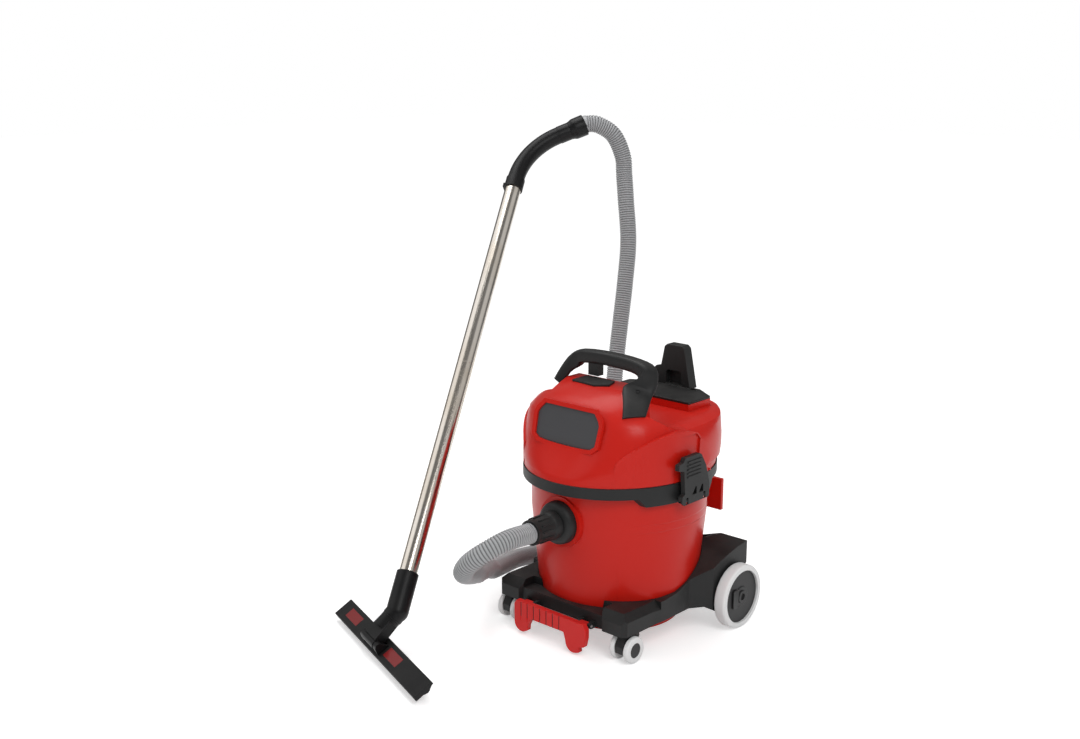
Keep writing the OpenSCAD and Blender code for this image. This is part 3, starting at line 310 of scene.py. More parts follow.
wear_group.links.new(wear_mask, wear_out.inputs["Mask"])

# %% Dust: a thin veil on faces that look up
CLOUDS = 18.0
dust_group, dust_in, dust_out = new_group(
    "settled_dust", [("Vector", VECTOR, None), ("Amount", FLOAT, 0.3)], [("Mask", FLOAT)])
geometry = dust_group.nodes.new("ShaderNodeNewGeometry")
split = dust_group.nodes.new("ShaderNodeSeparateXYZ")
dust_group.links.new(geometry.outputs["Normal"], split.inputs["Vector"])
upward = ramp(dust_group, split.outputs["Z"], low_at=0.35, high_at=1.0)
cloud = noise_node(dust_group, dust_in.outputs["Vector"], CLOUDS, detail=5.0, roughness=0.6)
veil = math_node(dust_group, "MULTIPLY", upward, ramp(dust_group, cloud, low_at=0.3, high_at=0.75))
dust_mask = math_node(dust_group, "MULTIPLY", veil, dust_in.outputs["Amount"], clamp=True)
dust_group.links.new(dust_mask, dust_out.inputs["Mask"])
print("node groups", [group.name for group in bpy.data.node_groups])

# %% [markdown]
# ## One recipe for plastics
# Red gloss, black grain and grey panel are moulded plastic with another dye and another mould
# surface each, and rubber, hose and bristles differ little from them. The recipe takes a colour, a
# roughness and how strong each effect is, so that each finish below is one short entry. The numbers
# that are the same all over have a name and stay out of the entries.

# %% Plastics


def place_group(tree, group, coords, **values):
    """The shared group in this material, fed with object coordinates and its own numbers."""
    node = tree.nodes.new("ShaderNodeGroup")
    node.node_tree = group
    tree.links.new(coords, node.inputs["Vector"])
    for label, value in values.items():
        node.inputs[label].default_value = value
    return node.outputs[0]


MIX_A, MIX_B, MIX_RESULT = 6, 7, 2


def mix_colour(tree, factor, a, b):
    """A mix of a and b by a mask, each a socket or a plain colour. A Mix node has sockets for
    numbers and vectors too, so the three that are for colours are taken by their index."""
    node = tree.nodes.new("ShaderNodeMix")
    node.data_type = "RGBA"
    tree.links.new(factor, node.inputs["Factor"])
    for index, value in ((MIX_A, a), (MIX_B, b)):
        if isinstance(value, (tuple, list)):
            node.inputs[index].default_value = (*value, 1.0)
        else:
            tree.links.new(value, node.inputs[index])
    return node.outputs[MIX_RESULT]


WEAR_PATCHES = 14.0
PALER_TIMES, PALER_PLUS = 1.5, 0.03
DUST_COLOUR = (0.42, 0.39, 0.36)
DULLING = 0.35
GLOSS_WAVES, GLOSS_SWING = 22.0, 0.12
GRAIN_HIGH, MOULDED_HIGH = 0.0004, 0.0006
SHADED = 0.22
COAT_ROUGH = 0.12


def plastic(name, colour, rough, grain, bump, coarse, wear=0.0, dust=0.0, rubbed=None, coat=0.0,
            specular=0.5, relief=None, shade=None):
    """Dyed plastic: colour, rubbed patches and dust on top. Roughness = rough + dulling * (wear +
    dust) + a slow swing. Relief adds a moulded height, and shade a mask that darkens the colour."""
    material, tree, shader, coords = new_material(name)
    rubbed_part = place_group(tree, wear_group, coords, Scale=WEAR_PATCHES, Amount=wear)
    dusty_part = place_group(tree, dust_group, coords, Amount=dust)
    paler = rubbed or tuple(min(1.0, c * PALER_TIMES + PALER_PLUS) for c in colour)
    tone = mix_colour(tree, rubbed_part, colour, paler)
    if shade:
        tone = mix_colour(tree, shade(tree, coords), tone, tuple(c * SHADED for c in colour))
    tree.links.new(mix_colour(tree, dusty_part, tone, DUST_COLOUR), shader.inputs["Base Color"])
    duller = math_node(tree, "MULTIPLY", math_node(tree, "ADD", rubbed_part, dusty_part), DULLING)
    swing = math_node(tree, "SUBTRACT", noise_node(tree, coords, GLOSS_WAVES), 0.5)
    rough_part = math_node(tree, "ADD", duller, rough)
    swing_part = math_node(tree, "MULTIPLY", swing, GLOSS_SWING)
    roughness = math_node(tree, "ADD", rough_part, swing_part, clamp=True)
    tree.links.new(roughness, shader.inputs["Roughness"])
    height = place_group(tree, grain_group, coords, Scale=grain, Coarse=coarse)
    moulded = bump_node(tree, relief(tree, coords), 1.0, MOULDED_HIGH) if relief else None
    tree.links.new(bump_node(tree, height, bump, GRAIN_HIGH, moulded), shader.inputs["Normal"])
    shader.inputs["Specular IOR Level"].default_value = specular
    if coat:
        shader.inputs["Coat Weight"].default_value = coat
        shader.inputs["Coat Roughness"].default_value = COAT_ROUGH
    return material


# %% [markdown]
# ## Marks of the mould
# The tank isn't quite plain: one fine crease runs down its front, as two halves of a mould leave
# it, and two shallow steps run round its side below the ring. They're too low for the construction
# model, so they're heights in the tank's own finish, worked out from angle and height round the
# axis.

# %% Relief of the tank
CREASE_AT = math.radians(-51)
CREASE_WIDE = math.radians(0.9)
CREASE_GONE, CREASE_FULL = 0.20, 0.12
STEPS_AT = (0.229, 0.244)
STEP_HALF = 0.0012
STEPS_GROW = 0.5


def tank_relief(tree, coords):
    """Height = a step where the angle round the axis passes the crease, growing from its upper end
    down, plus a step at each of two heights, growing with the angle beyond the crease."""
    centred = tree.nodes.new("ShaderNodeMapping")
    centred.inputs["Location"].default_value = (-AXIS[0], -AXIS[1], 0.0)
    tree.links.new(coords, centred.inputs["Vector"])
    parts = tree.nodes.new("ShaderNodeSeparateXYZ")
    tree.links.new(centred.outputs["Vector"], parts.inputs["Vector"])
    up = parts.outputs["Z"]
    turn = math_node(tree, "ARCTAN2", parts.outputs["Y"], parts.outputs["X"])
    crease = ramp(tree, turn, CREASE_AT - CREASE_WIDE, CREASE_AT + CREASE_WIDE)
    total = math_node(tree, "MULTIPLY", ramp(tree, up, CREASE_GONE, CREASE_FULL), crease)
    side_part = ramp(tree, turn, CREASE_AT, CREASE_AT + STEPS_GROW)
    for height in STEPS_AT:
        step = ramp(tree, up, height - STEP_HALF, height + STEP_HALF)
        total = math_node(tree, "ADD", total, math_node(tree, "MULTIPLY", step, side_part))
    return total


# %% [markdown]
# ## The hose's grooves
# Light hardly reaches the valleys between the ribs. The rib pattern follows the hose, not the
# room, so the hose's mesh carries it as an attribute: 0 on a crest and 1 in a valley. The finish
# reads it and darkens the valleys.

# %% Groove shade


def groove_shade(tree, coords):
    """The mask stored on the hose's points, as it comes."""
    stored = tree.nodes.new("ShaderNodeAttribute")
    stored.attribute_name = "groove"
    return stored.outputs["Fac"]


# %% The plastics of the machine
RED = (0.56, 0.012, 0.006)
DEEP_RED = (0.46, 0.014, 0.008)
RED_GLOSS = dict(grain=500.0, bump=0.03, coarse=0.8, wear=0.06, dust=0.03, rubbed=DEEP_RED, coat=0.05,
                 specular=0.2)
finishes = {
    "pedal_red": plastic("pedal_red", (0.66, 0.018, 0.016), 0.36, **RED_GLOSS),
    "red_housing": plastic("red_gloss", RED, 0.33, **RED_GLOSS),
    "red_tank": plastic("red_gloss_tank", RED, 0.33, relief=tank_relief, **RED_GLOSS),
    "black_plastic": plastic(
        "black_grain", (0.0125, 0.0128, 0.013), 0.50, grain=1400.0, bump=0.12, coarse=0.2, wear=0.22,
        dust=0.06, specular=0.3),
    "black_smooth": plastic(
        "black_smooth", (0.0035, 0.0035, 0.004), 0.42, grain=900.0, bump=0.05, coarse=0.2, wear=0.2,
        dust=0.03, rubbed=(0.02, 0.02, 0.021), specular=0.25),
    "grey_plastic": plastic(
        "grey_smooth", (0.060, 0.060, 0.064), 0.42, grain=700.0, bump=0.04, coarse=0.4, wear=0.15,
        dust=0.04, specular=0.3),
    "hub_grey": plastic(
        "hub_grey", (0.020, 0.020, 0.021), 0.45, grain=800.0, bump=0.06, coarse=0.3, wear=0.2,
        dust=0.05, specular=0.3),
    "white_tyre": plastic(
        "white_tyre", (0.82, 0.82, 0.82), 0.62, grain=300.0, bump=0.10, coarse=0.5),
    "seal_rubber": plastic(
        "seal_rubber", (0.02, 0.02, 0.02), 0.75, grain=600.0, bump=0.1, coarse=0.4, dust=0.1),
    "float_plastic": plastic(
        "float_white", (0.75, 0.75, 0.74), 0.4, grain=500.0, bump=0.03, coarse=0.4),
    "red_window": plastic(
        "window_red", (0.20, 0.008, 0.009), 0.30, grain=260.0, bump=0.25, coarse=1.0, wear=0.05,
        dust=0.02, coat=0.3, specular=0.3),
    "bristle": plastic(
        "bristle_black", (0.008, 0.008, 0.008), 0.6, grain=2500.0, bump=0.2, coarse=0.1, dust=0.05,
        specular=0.25),
    "hose_plastic": plastic(
        "hose_grey", (0.40, 0.405, 0.415), 0.36, grain=400.0, bump=0.04, coarse=0.5, coat=0.1,
        specular=0.4, shade=groove_shade),
}
print("plastics", len(finishes))

# %% [markdown]
# ## Metal
# The wand is steel tube, polished along its length and plated. Drawn tube shows faint lines that
# run with the tube, so the noise is stretched along the wand's direction before it bends the
# surface and varies the gloss. The small pins and the rotor share the recipe with other numbers.

# %% Steel
WAND = axis_of["air_slider_move"]
UPRIGHT = np.array([0.0, 0.0, 1.0])
DRAWN_LINES, DRAWN_DEEP, DRAWN_HIGH, DRAWN_SWING = 520.0, 0.08, 0.0002, 0.16
STAINS, STAIN_DULLING, STAIN_TINT = 9.0, 0.1, (0.88, 0.84, 0.78)


def steel(name, colour, rough, along, stretch=0.04):
    """Drawn steel: noise stretched along one direction gives the lines, and slow noise the stains.
    Roughness = rough + swing * (lines - a half) + dulling where it is stained."""
    material, tree, shader, coords = new_material(name)
    shader.inputs["Metallic"].default_value = 1.0
    level = np.cross(along, UPRIGHT)
    tilt = math.acos(min(1.0, max(-1.0, float(along[2]))))
    lined = tree.nodes.new("ShaderNodeMapping")
    lined.vector_type = "TEXTURE"
    lined.inputs["Rotation"].default_value = (tilt, 0.0, math.atan2(level[1], level[0]) + math.pi)
    lined.inputs["Scale"].default_value = (1.0, 1.0, 1.0 / stretch)
    tree.links.new(coords, lined.inputs["Vector"])
    drawn = noise_node(tree, lined.outputs["Vector"], DRAWN_LINES, detail=3.0, roughness=0.6)
    stain = noise_node(tree, coords, STAINS, detail=4.0, roughness=0.55)
    swing = math_node(tree, "MULTIPLY", drawn, DRAWN_SWING)
    clean = math_node(tree, "ADD", swing, rough - DRAWN_SWING / 2)
    duller = math_node(tree, "MULTIPLY", ramp(tree, stain, low_at=0.5, high_at=0.8), STAIN_DULLING)
    roughness = math_node(tree, "ADD", clean, duller, clamp=True)
    tree.links.new(roughness, shader.inputs["Roughness"])
    warm = tuple(c * tint for c, tint in zip(colour, STAIN_TINT))
    tone = mix_colour(tree, ramp(tree, stain, low_at=0.45, high_at=0.7), colour, warm)
    tree.links.new(tone, shader.inputs["Base Color"])
    tree.links.new(bump_node(tree, drawn, DRAWN_DEEP, DRAWN_HIGH), shader.inputs["Normal"])
    return material


finishes["wand_steel"] = steel("wand_steel", (0.72, 0.67, 0.61), 0.19, WAND)
finishes["steel_pin"] = steel("pin_steel", (0.60, 0.60, 0.61), 0.32, UPRIGHT, stretch=0.2)
print("wand direction", WAND)

# %% [markdown]
# ## The filter's paper
# Pleated filter paper is a soft, matt cloth with a fibre pattern. Fine noise for the fibres and a
# grey veil in slow patches are enough, because it sits inside the tank and is only seen when the
# head is lifted off.

# %% Filter paper
CLEAN_PAPER, SOOTY_PAPER = (0.80, 0.78, 0.72), (0.52, 0.50, 0.47)
FIBRES, FIBRE_DEEP, SOOT_PATCHES, PAPER_ROUGH = 1500.0, 0.2, 16.0, 0.9


def filter_paper():
    """Colour = clean to sooty by a slow noise; the normal is bent by a fine noise for the fibres."""
    material, tree, shader, coords = new_material("filter_paper")
    fibre = noise_node(tree, coords, FIBRES, detail=3.0, roughness=0.7)
    soot_noise = noise_node(tree, coords, SOOT_PATCHES, detail=4.0, roughness=0.6)
    soot = ramp(tree, soot_noise, low_at=0.4, high_at=0.8)
    tree.links.new(mix_colour(tree, soot, CLEAN_PAPER, SOOTY_PAPER), shader.inputs["Base Color"])
    tree.links.new(bump_node(tree, fibre, FIBRE_DEEP, GRAIN_HIGH), shader.inputs["Normal"])
    shader.inputs["Roughness"].default_value = PAPER_ROUGH
    return material


finishes["filter_fabric"] = filter_paper()
print("finishes", len(finishes))


def finish_with(piece, slot):
    """Puts one finish on every face of a piece."""
    piece.data.materials.clear()
    piece.data.materials.append(finishes[slot])
    return piece


# %% [markdown]
# ## The hose
# A vacuum hose is a thin tube wound from a ribbed strip: round crests a few millimetres apart, with
# narrow valleys between them. The tube is computed as a whole: a smooth curve through the route's
# points, a frame carried along it without twist, and a radius that rises and falls with distance.
# The points were worked out beforehand, by a calculation that looked for wide bends and kept clear
# of the machine, and are rounded to the millimetre.

# %% Route of the hose, in metres from the tank's axis
HAND_END = np.array([-0.411637, 0.368539, 0.917238])
HAND_DIR = axis_of["hand_cuff_turn"]
INLET = np.array([0.0, -0.251, 0.238])
INLET_DIR = np.array([0.0, 1.0, 0.0])
END_GAP = 0.0003
LEAD_OUT = 0.004
LEAD_IN = 0.010
ROUTE = [
    (-0.393, 0.391, 0.917), (-0.371, 0.419, 0.894), (-0.358, 0.436, 0.848), (-0.352, 0.435, 0.807),
    (-0.339, 0.426, 0.753), (-0.323, 0.417, 0.663), (-0.315, 0.398, 0.574), (-0.308, 0.375, 0.486),
    (-0.300, 0.351, 0.398), (-0.293, 0.333, 0.309), (-0.288, 0.321, 0.218), (-0.283, 0.312, 0.158),
    (-0.279, 0.296, 0.099), (-0.278, 0.261, 0.051), (-0.280, 0.207, 0.024), (-0.280, 0.146, 0.021),
    (-0.275, 0.087, 0.033), (-0.264, 0.028, 0.045), (-0.248, -0.030, 0.058), (-0.228, -0.086, 0.068),
    (-0.203, -0.140, 0.081), (-0.189, -0.162, 0.092), (-0.172, -0.187, 0.107), (-0.157, -0.212, 0.114),
    (-0.143, -0.238, 0.121), (-0.125, -0.261, 0.130), (-0.109, -0.284, 0.141), (-0.096, -0.307, 0.150),
    (-0.081, -0.337, 0.164), (-0.063, -0.356, 0.180), (-0.042, -0.363, 0.201), (-0.020, -0.355, 0.221),
    (-0.004, -0.333, 0.236), (0.003, -0.302, 0.242),
]
route = from_axis([HAND_END + HAND_DIR * END_GAP, HAND_END + HAND_DIR * LEAD_OUT, *ROUTE,
                   INLET - [0, LEAD_IN, 0], INLET - [0, END_GAP, 0]])


def smooth_curve(points, steps):
    """Catmull-Rom: between two points, a cubic whose slopes follow the points' neighbours."""
    p = np.vstack([points[:1], points, points[-1:]])
    t = (np.arange(steps) / steps)[None, :, None]
    a, b, c, d = (p[k:len(p) - 3 + k, None, :] for k in range(4))
    square, cube = 2 * a - 5 * b + 4 * c - d, 3 * b - a - 3 * c + d
    curve = 0.5 * (2 * b + (c - a) * t + square * t**2 + cube * t**3)
    return np.vstack([curve.reshape(-1, 3), points[-1:]])


def even_spaced(curve, step):
    """The same curve with its points a fixed distance apart, and its length."""
    along = np.concatenate([[0], np.cumsum(np.linalg.norm(np.diff(curve, axis=0), axis=1))])
    count = int(round(along[-1] / step)) + 1
    want = np.linspace(0, along[-1], count)
    return np.stack([np.interp(want, along, curve[:, k]) for k in range(3)], -1), float(along[-1])


HOSE_D = 0.038
RIB_PITCH = 0.0052
RIB_DEPTH = 0.0021
RINGS_PER_RIB = 6
RING_STEP = RIB_PITCH / RINGS_PER_RIB
SIDES = 20
CURVE_STEPS = 24
centre, hose_length = even_spaced(smooth_curve(route, CURVE_STEPS), RING_STEP)
print("hose length", round(hose_length, 3), "rings", len(centre))


def carried_sides(curve, start, end):
    """A side direction at each point, turned as little as possible from one point to the next."""
    forward = np.gradient(curve, axis=0)
    forward[0], forward[-1] = start, end
    forward /= np.linalg.norm(forward, axis=1)[:, None]
    side = np.cross(forward[0], UPRIGHT)
    sides = np.empty_like(forward)
    for k, direction in enumerate(forward):
        side = side - direction * (side @ direction)
        side /= np.linalg.norm(side)
        sides[k] = side
    return forward, sides


forward, side = carried_sides(centre, HAND_DIR, INLET_DIR)
other = np.cross(forward, side)

# %% Ribbed tube
# Formula: radius = outer radius - rib depth * (1 - wave). The wave is 0 in a valley and 1 on a
# crest: half of one less the cosine of the distance, to a power below one, which keeps the crests
# broad and the valleys narrow. The end rings stay plain.
PLAIN_RINGS = 3
CREST_POWER, VALLEY_POWER = 0.6, 1.5
distance = np.arange(len(centre)) * RING_STEP
wave = (0.5 - 0.5 * np.cos(2 * np.pi * distance / RIB_PITCH)) ** CREST_POWER
wave[:PLAIN_RINGS] = wave[-PLAIN_RINGS:] = 1.0
radius = HOSE_D / 2 - RIB_DEPTH * (1 - wave)
angle = round_angles(SIDES)
across_part = side[:, None, :] * np.cos(angle)[None, :, None]
spoke = across_part + other[:, None, :] * np.sin(angle)[None, :, None]
hose = tube_object("hose_ribbed", centre[:, None, :] + radius[:, None, None] * spoke)
groove = hose.data.attributes.new("groove", "FLOAT", "POINT")
groove.data.foreach_set("value", np.repeat((1 - wave) ** VALLEY_POWER, SIDES).astype(np.float32))
finish_with(hose, "hose_plastic")
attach(hose, "base")
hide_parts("hose")
print("hose faces", len(hose.data.polygons))

# %% [markdown]
# ## Dressing the rigid pieces
# Every visible moulding gets its softened copy. The width of the round follows the piece: broad on
# the trolley and the rear post, thin on hubs and trim. The pieces inside, the pins and the rollers
# keep the frame's own mesh and only take their finish.

# %% Softened copies
ROUNDS = {
    "trolley": 0.0025, "tank": 0.0008, "tank_ring": 0.0010, "inlet_flange": 0.0010,
    "tank_bracket": 0.0010, "head_cover": 0.0014, "carry_handle": 0.0015, "top_plate": 0.0010,
    "deck_plate": 0.0012,
    "rear_post": 0.0022, "control_panel": 0.0005, "latch_left": 0.0010, "latch_right": 0.0010,
    "wheel_disc_left": 0.0008, "wheel_disc_right": 0.0008, "wheel_tyre_left": 0.0008,
    "wheel_tyre_right": 0.0008, "castor_fork_left": 0.0010, "castor_fork_right": 0.0010,
    "castor_hub_left": 0.0006, "castor_hub_right": 0.0006, "castor_tyre_left_in": 0.0006,
    "castor_tyre_left_out": 0.0006, "castor_tyre_right_in": 0.0006, "castor_tyre_right_out": 0.0006,
    "brake_pedal": 0.0010, "inlet_cuff": 0.0006, "hand_tube": 0.0008,
    "air_slider": 0.0006, "nozzle_elbow": 0.0010, "nozzle_neck": 0.0010, "nozzle_shell": 0.0010,
    "nozzle_window_left": 0.0003, "nozzle_window_right": 0.0003, "wand_upper": 0.0003,
    "wand_lower": 0.0003,
}
FINISH_OF = {
    "tank": "red_tank", "brake_pedal": "pedal_red", "hand_tube": "black_smooth",
    "air_slider": "black_smooth", "nozzle_elbow": "black_smooth", "nozzle_neck": "black_smooth",
    "nozzle_shell": "black_smooth", "wheel_disc_left": "hub_grey", "wheel_disc_right": "hub_grey",
    "castor_hub_left": "hub_grey", "castor_hub_right": "hub_grey",
}
MADE_NEW = {"hose", "hose_cuff", "nozzle_brushes", "stub_axle_left", "stub_axle_right"}
for node, width in ROUNDS.items():
    finish_with(dressed(node, width), FINISH_OF.get(node, slot_of[node]))
plain_nodes = [node for node in nodes if node not in ROUNDS and node not in MADE_NEW]
for node in plain_nodes:
    finish_with(nodes[node], slot_of[node])
print("dressed", len(ROUNDS), "plain", len(plain_nodes), "of", len(nodes))

# %% [markdown]
# ## Turned pieces
# A hub, a cuff and a screw are all a profile turned round an axis. The profile is a list of points,
# each with its distance along the axis and its radius. Every point becomes a ring, and the rings
# make a tube whose ends are closed.

# %% Turning a profile
NEARLY_UPRIGHT = 0.02
WELD = 1e-7


def square_to(axis):
    """The unit axis and two unit directions square to it and to each other, the first one level."""
    axis = np.asarray(axis, float) / np.linalg.norm(axis)
    level = np.cross(axis, UPRIGHT)
    if np.linalg.norm(level) < NEARLY_UPRIGHT:
        level = np.array([1.0, 0.0, 0.0])
    level /= np.linalg.norm(level)
    return axis, level, np.cross(axis, level)


def finish_piece(made, body, finish, bevel=0):
    """Merges doubles, points faces outwards, rounds sharp edges, and says what the piece rides on."""
    work = bmesh.new()
    work.from_mesh(made.data)
    bmesh.ops.remove_doubles(work, verts=work.verts, dist=WELD)
    bmesh.ops.recalc_face_normals(work, faces=work.faces)
    mark_sharp(work)
    work.to_mesh(made.data)
    work.free()
    add_rounding(made, bevel)
    finish_with(made, finish)
    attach(made, body)
    return made


def turned(name, body, finish, at, axis, profile, count=48, bevel=0):
    """Point = at + axis * distance + radius * (level * cos + third * sin), for each profile point."""
    axis, level, third = square_to(axis)
    profile = np.asarray(profile, float)
    turn = round_angles(count)
    spokes = level * np.cos(turn)[:, None] + third * np.sin(turn)[:, None]
    grid = (np.asarray(at, float) + profile[:, 0, None, None] * axis
            + profile[:, 1, None, None] * spokes[None])
    return finish_piece(tube_object(name, grid), body, finish, bevel)


# %% [markdown]
# ## The hose cuff on the hand tube
# The cuff that holds the hose on the hand tube flares from the tube's width to a wide, nearly
# straight collar. The flare is a smooth curve, which a turned profile gives directly.

# %% Hose cuff
CUFF_LONG, CUFF_BORE, CUFF_ROUND = 0.0357, 0.0150, 0.0004
FLARE_LONG, FLARE_FROM, FLARE_BY = 0.012, 0.0196, 0.0034
COLLAR_END, COLLAR_R, LIP_R = 0.0345, 0.0232, 0.0226
cuff_start = from_axis(HAND_END) - HAND_DIR * CUFF_LONG
flare = np.linspace(0, 1, 9)
flare_r = FLARE_FROM + FLARE_BY * (3 * flare**2 - 2 * flare**3)
flare_profile = np.stack([flare * FLARE_LONG, flare_r], -1).tolist()
hose_cuff = turned(
    "hose_cuff_turned", "hand_cuff", "black_smooth", cuff_start, HAND_DIR,
    [[0.0, CUFF_BORE], *flare_profile, [COLLAR_END, COLLAR_R], [CUFF_LONG, LIP_R],
     [CUFF_LONG, CUFF_BORE]],
    count=64, bevel=CUFF_ROUND)
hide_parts("hose_cuff")
print("hose cuff", [round(v * 1000, 1) for v in hose_cuff.dimensions])

# %% [markdown]
# ## Wheel hubs
# Each rear wheel turns on a short axle. A ring of the disc's own plastic stands round the axle's
# end, with a raised lug beside it, and the axle stops just short of the disc's face. The lug is a
# rounded rectangle, which is a circle whose sine and cosine are raised to a low power.

# %% Hubs and axles
HUB_RING = [[-0.0004, 0.0066], [-0.0004, 0.0126], [0.0022, 0.0124], [0.0030, 0.0115],
            [0.0030, 0.0070], [0.0026, 0.0066], [-0.0004, 0.0066]]
AXLE_R, AXLE_CHAMFER, AXLE_SHORT = 0.0060, 0.0006, 0.0006
AXLE_ROOT_R, AXLE_TIP_R = 0.0050, 0.0052
LUG_HALF_Y, LUG_HALF_Z, LUG_FORWARD = 0.0085, 0.0190, 0.0205
LUG_POWER, LUG_POINTS = 0.35, 64
LUG_ROWS = [(-0.0004, 1.0), (0.0014, 1.0), (0.0020, 0.95)]  # out of the face, share of the size


def softened(wave):
    """Sign of the wave times its size to a low power: the side of a rounded rectangle."""
    return np.sign(wave) * np.abs(wave) ** LUG_POWER


def dress_hub(side_name, sign):
    """Ring, axle and lug of one wheel; sign is the way out along X."""
    disc_low, disc_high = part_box("wheel_disc_" + side_name)
    axle_low, axle_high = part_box("stub_axle_" + side_name)
    hub_y, hub_z = (disc_low.y + disc_high.y) / 2, (disc_low.z + disc_high.z) / 2
    face_x = disc_high.x if sign > 0 else disc_low.x
    inner_x = axle_low.x if sign > 0 else axle_high.x
    out = np.array([sign, 0.0, 0.0])
    wheel = "wheel_" + side_name[0]
    turned("hub_ring_" + side_name, wheel, "hub_grey", [face_x, hub_y, hub_z], out,
           HUB_RING)
    length = abs(face_x - inner_x) - AXLE_SHORT
    axle = turned("axle_" + side_name, "base", "steel_pin", [inner_x, hub_y, hub_z], out,
                  [[0.0, AXLE_ROOT_R], [AXLE_CHAMFER, AXLE_R], [length - AXLE_CHAMFER, AXLE_R],
                   [length, AXLE_TIP_R]])
    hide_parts("stub_axle_" + side_name)
    turn = round_angles(LUG_POINTS)
    lug_y = LUG_HALF_Y * softened(np.cos(turn))
    lug_z = LUG_HALF_Z * softened(np.sin(turn))
    lug_grid = np.stack([np.stack([
        np.full(LUG_POINTS, face_x + sign * x), hub_y - LUG_FORWARD + lug_y * k, hub_z + lug_z * k,
    ], -1) for x, k in LUG_ROWS])
    finish_piece(tube_object("hub_lug_" + side_name, lug_grid), wheel, "hub_grey")
    return length


for side_name, sign in (("left", -1.0), ("right", 1.0)):
    print("axle", side_name, "length", round(dress_hub(side_name, sign), 4))

# %% [markdown]
# ## The screw of the carry handle
# A screw holds the handle's broad right leg. Its place on the leg's skin is found by casting a ray
# at the leg, so the screw sits on the skin whatever the leg's shape.

# %% Screw in the right leg
LOOK_FROM = Vector(from_axis([0.30, -0.30, 0.56]))
LOOK_AT = Vector(from_axis([0.083, -0.054, 0.477]))
SCREW = [[-0.0020, 0.0045], [0.0004, 0.0045], [0.0006, 0.0040], [0.0006, 0.0030], [-0.0008, 0.0026],
         [-0.0008, 0.0004]]
handle_mesh = nodes["carry_handle"].data
handle_tree = BVHTree.FromPolygons([v.co for v in handle_mesh.vertices],
                                   [p.vertices for p in handle_mesh.polygons])
spot, normal = handle_tree.ray_cast(LOOK_FROM, (LOOK_AT - LOOK_FROM).normalized())[:2]
turned("handle_screw", "head", "black_smooth", spot, normal, SCREW, count=32)
print("screw at", [round(v, 4) for v in spot])

# %% [markdown]
# ## The pedal's grooves
# The brake pedal has a row of upright grooves that look black. A dark bar in each groove, with its
# front a little behind the pedal's, is painted shade: it stands in for the shadow deep in the groove.

# %% Painted shade in the pedal's grooves
GROOVES = 7
GROOVE_PITCH, GROOVE_WIDE, GROOVE_DEEP = 0.016, 0.002, 0.002
BAR_FRONT = 0.0009
BAR_LOW, BAR_HIGH = 0.0375, 0.0655
pedal_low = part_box("brake_pedal")[0]


def shade_bar(k):
    """The eight corners of the painted-shade bar in groove k: four at its foot, then four at its head.
    """
    x0 = pedal_low.x + GROOVE_PITCH * k
    x1 = x0 + GROOVE_WIDE
    front, back = pedal_low.y + BAR_FRONT, pedal_low.y + GROOVE_DEEP
    corners = ((x0, back), (x1, back), (x1, front), (x0, front))
    return [[x, y, z] for z in (BAR_LOW, BAR_HIGH) for x, y in corners]


shade_bar_verts = np.concatenate([shade_bar(k + 1) for k in range(GROOVES)])
shade_bar_faces = [face for k in range(GROOVES) for face in box_faces(8 * k)]
# Black bars put in the grooves as painted shade.
shade_bars = mesh_object("pedal_painted_shade", shade_bar_verts, shade_bar_faces, False)
finish_piece(shade_bars, "pedal", "black_plastic")
print("grooves", GROOVES)

# %% [markdown]
# ## The nozzle's brushes
# Two rows of bristles close the nozzle's mouth to the front and the rear. Each bristle is a thin
# three-sided spike. Their roots stand in a strip, their tips spread a little, and none goes below
# the floor. A fixed seed keeps every bristle where it is, each time the script runs.

# %% Nozzle frame
NOZZLE_AT = from_axis([-0.1983, -0.4619, 0.016])
NOZZLE_TURN, NOZZLE_TILT = math.radians(19.5), math.radians(33.2)
WIDE = np.array([math.cos(NOZZLE_TURN), -math.sin(NOZZLE_TURN), 0.0])
REARWARD = np.array([math.sin(NOZZLE_TURN), math.cos(NOZZLE_TURN), 0.0])
UP_SLOPE = REARWARD * math.cos(NOZZLE_TILT) + UPRIGHT * math.sin(NOZZLE_TILT)
OUT_OF_TOP = -REARWARD * math.sin(NOZZLE_TILT) + UPRIGHT * math.cos(NOZZLE_TILT)


def on_nozzle(wide, slope, out):
    """Place = the nozzle's middle + wide * its width + slope * up its slope + out * out of its top."""
    wide, slope, out = np.broadcast_arrays(wide, slope, out)
    along = NOZZLE_AT + wide[..., None] * WIDE
    return along + slope[..., None] * UP_SLOPE + out[..., None] * OUT_OF_TOP


print("nozzle at", NOZZLE_AT.round(3))

# %% Bristles
BRISTLES = 900
BRISTLE_R, TIP_SHARE, ROOT_IN = 0.00035, 0.6, 0.0030
ROW_HALF, ROW_THICK = 0.173, 0.0021
LEAN_WIDE, LEAN_SLOPE, UNEVEN = 0.0006, 0.0003, 0.0012
CLEAR_OF_FLOOR = 0.0002
STRIP_HALF, STRIP_THICK, STRIP_DEEP = 0.174, 0.0025, 0.0040
# Each row: its place up the slope, then the heights of its roots and its tips, below the top.
ROWS = ((0.0056, -0.0031, -0.0203), (0.0354, -0.0031, -0.0119))
SPIKE_SIDES = np.array([[0, 1, 4, 3], [1, 2, 5, 4], [2, 0, 3, 5]])
SPIKE_ROOT, SPIKE_TIP = np.array([[0, 2, 1]]), np.array([[3, 4, 5]])
rng = np.random.default_rng(7)


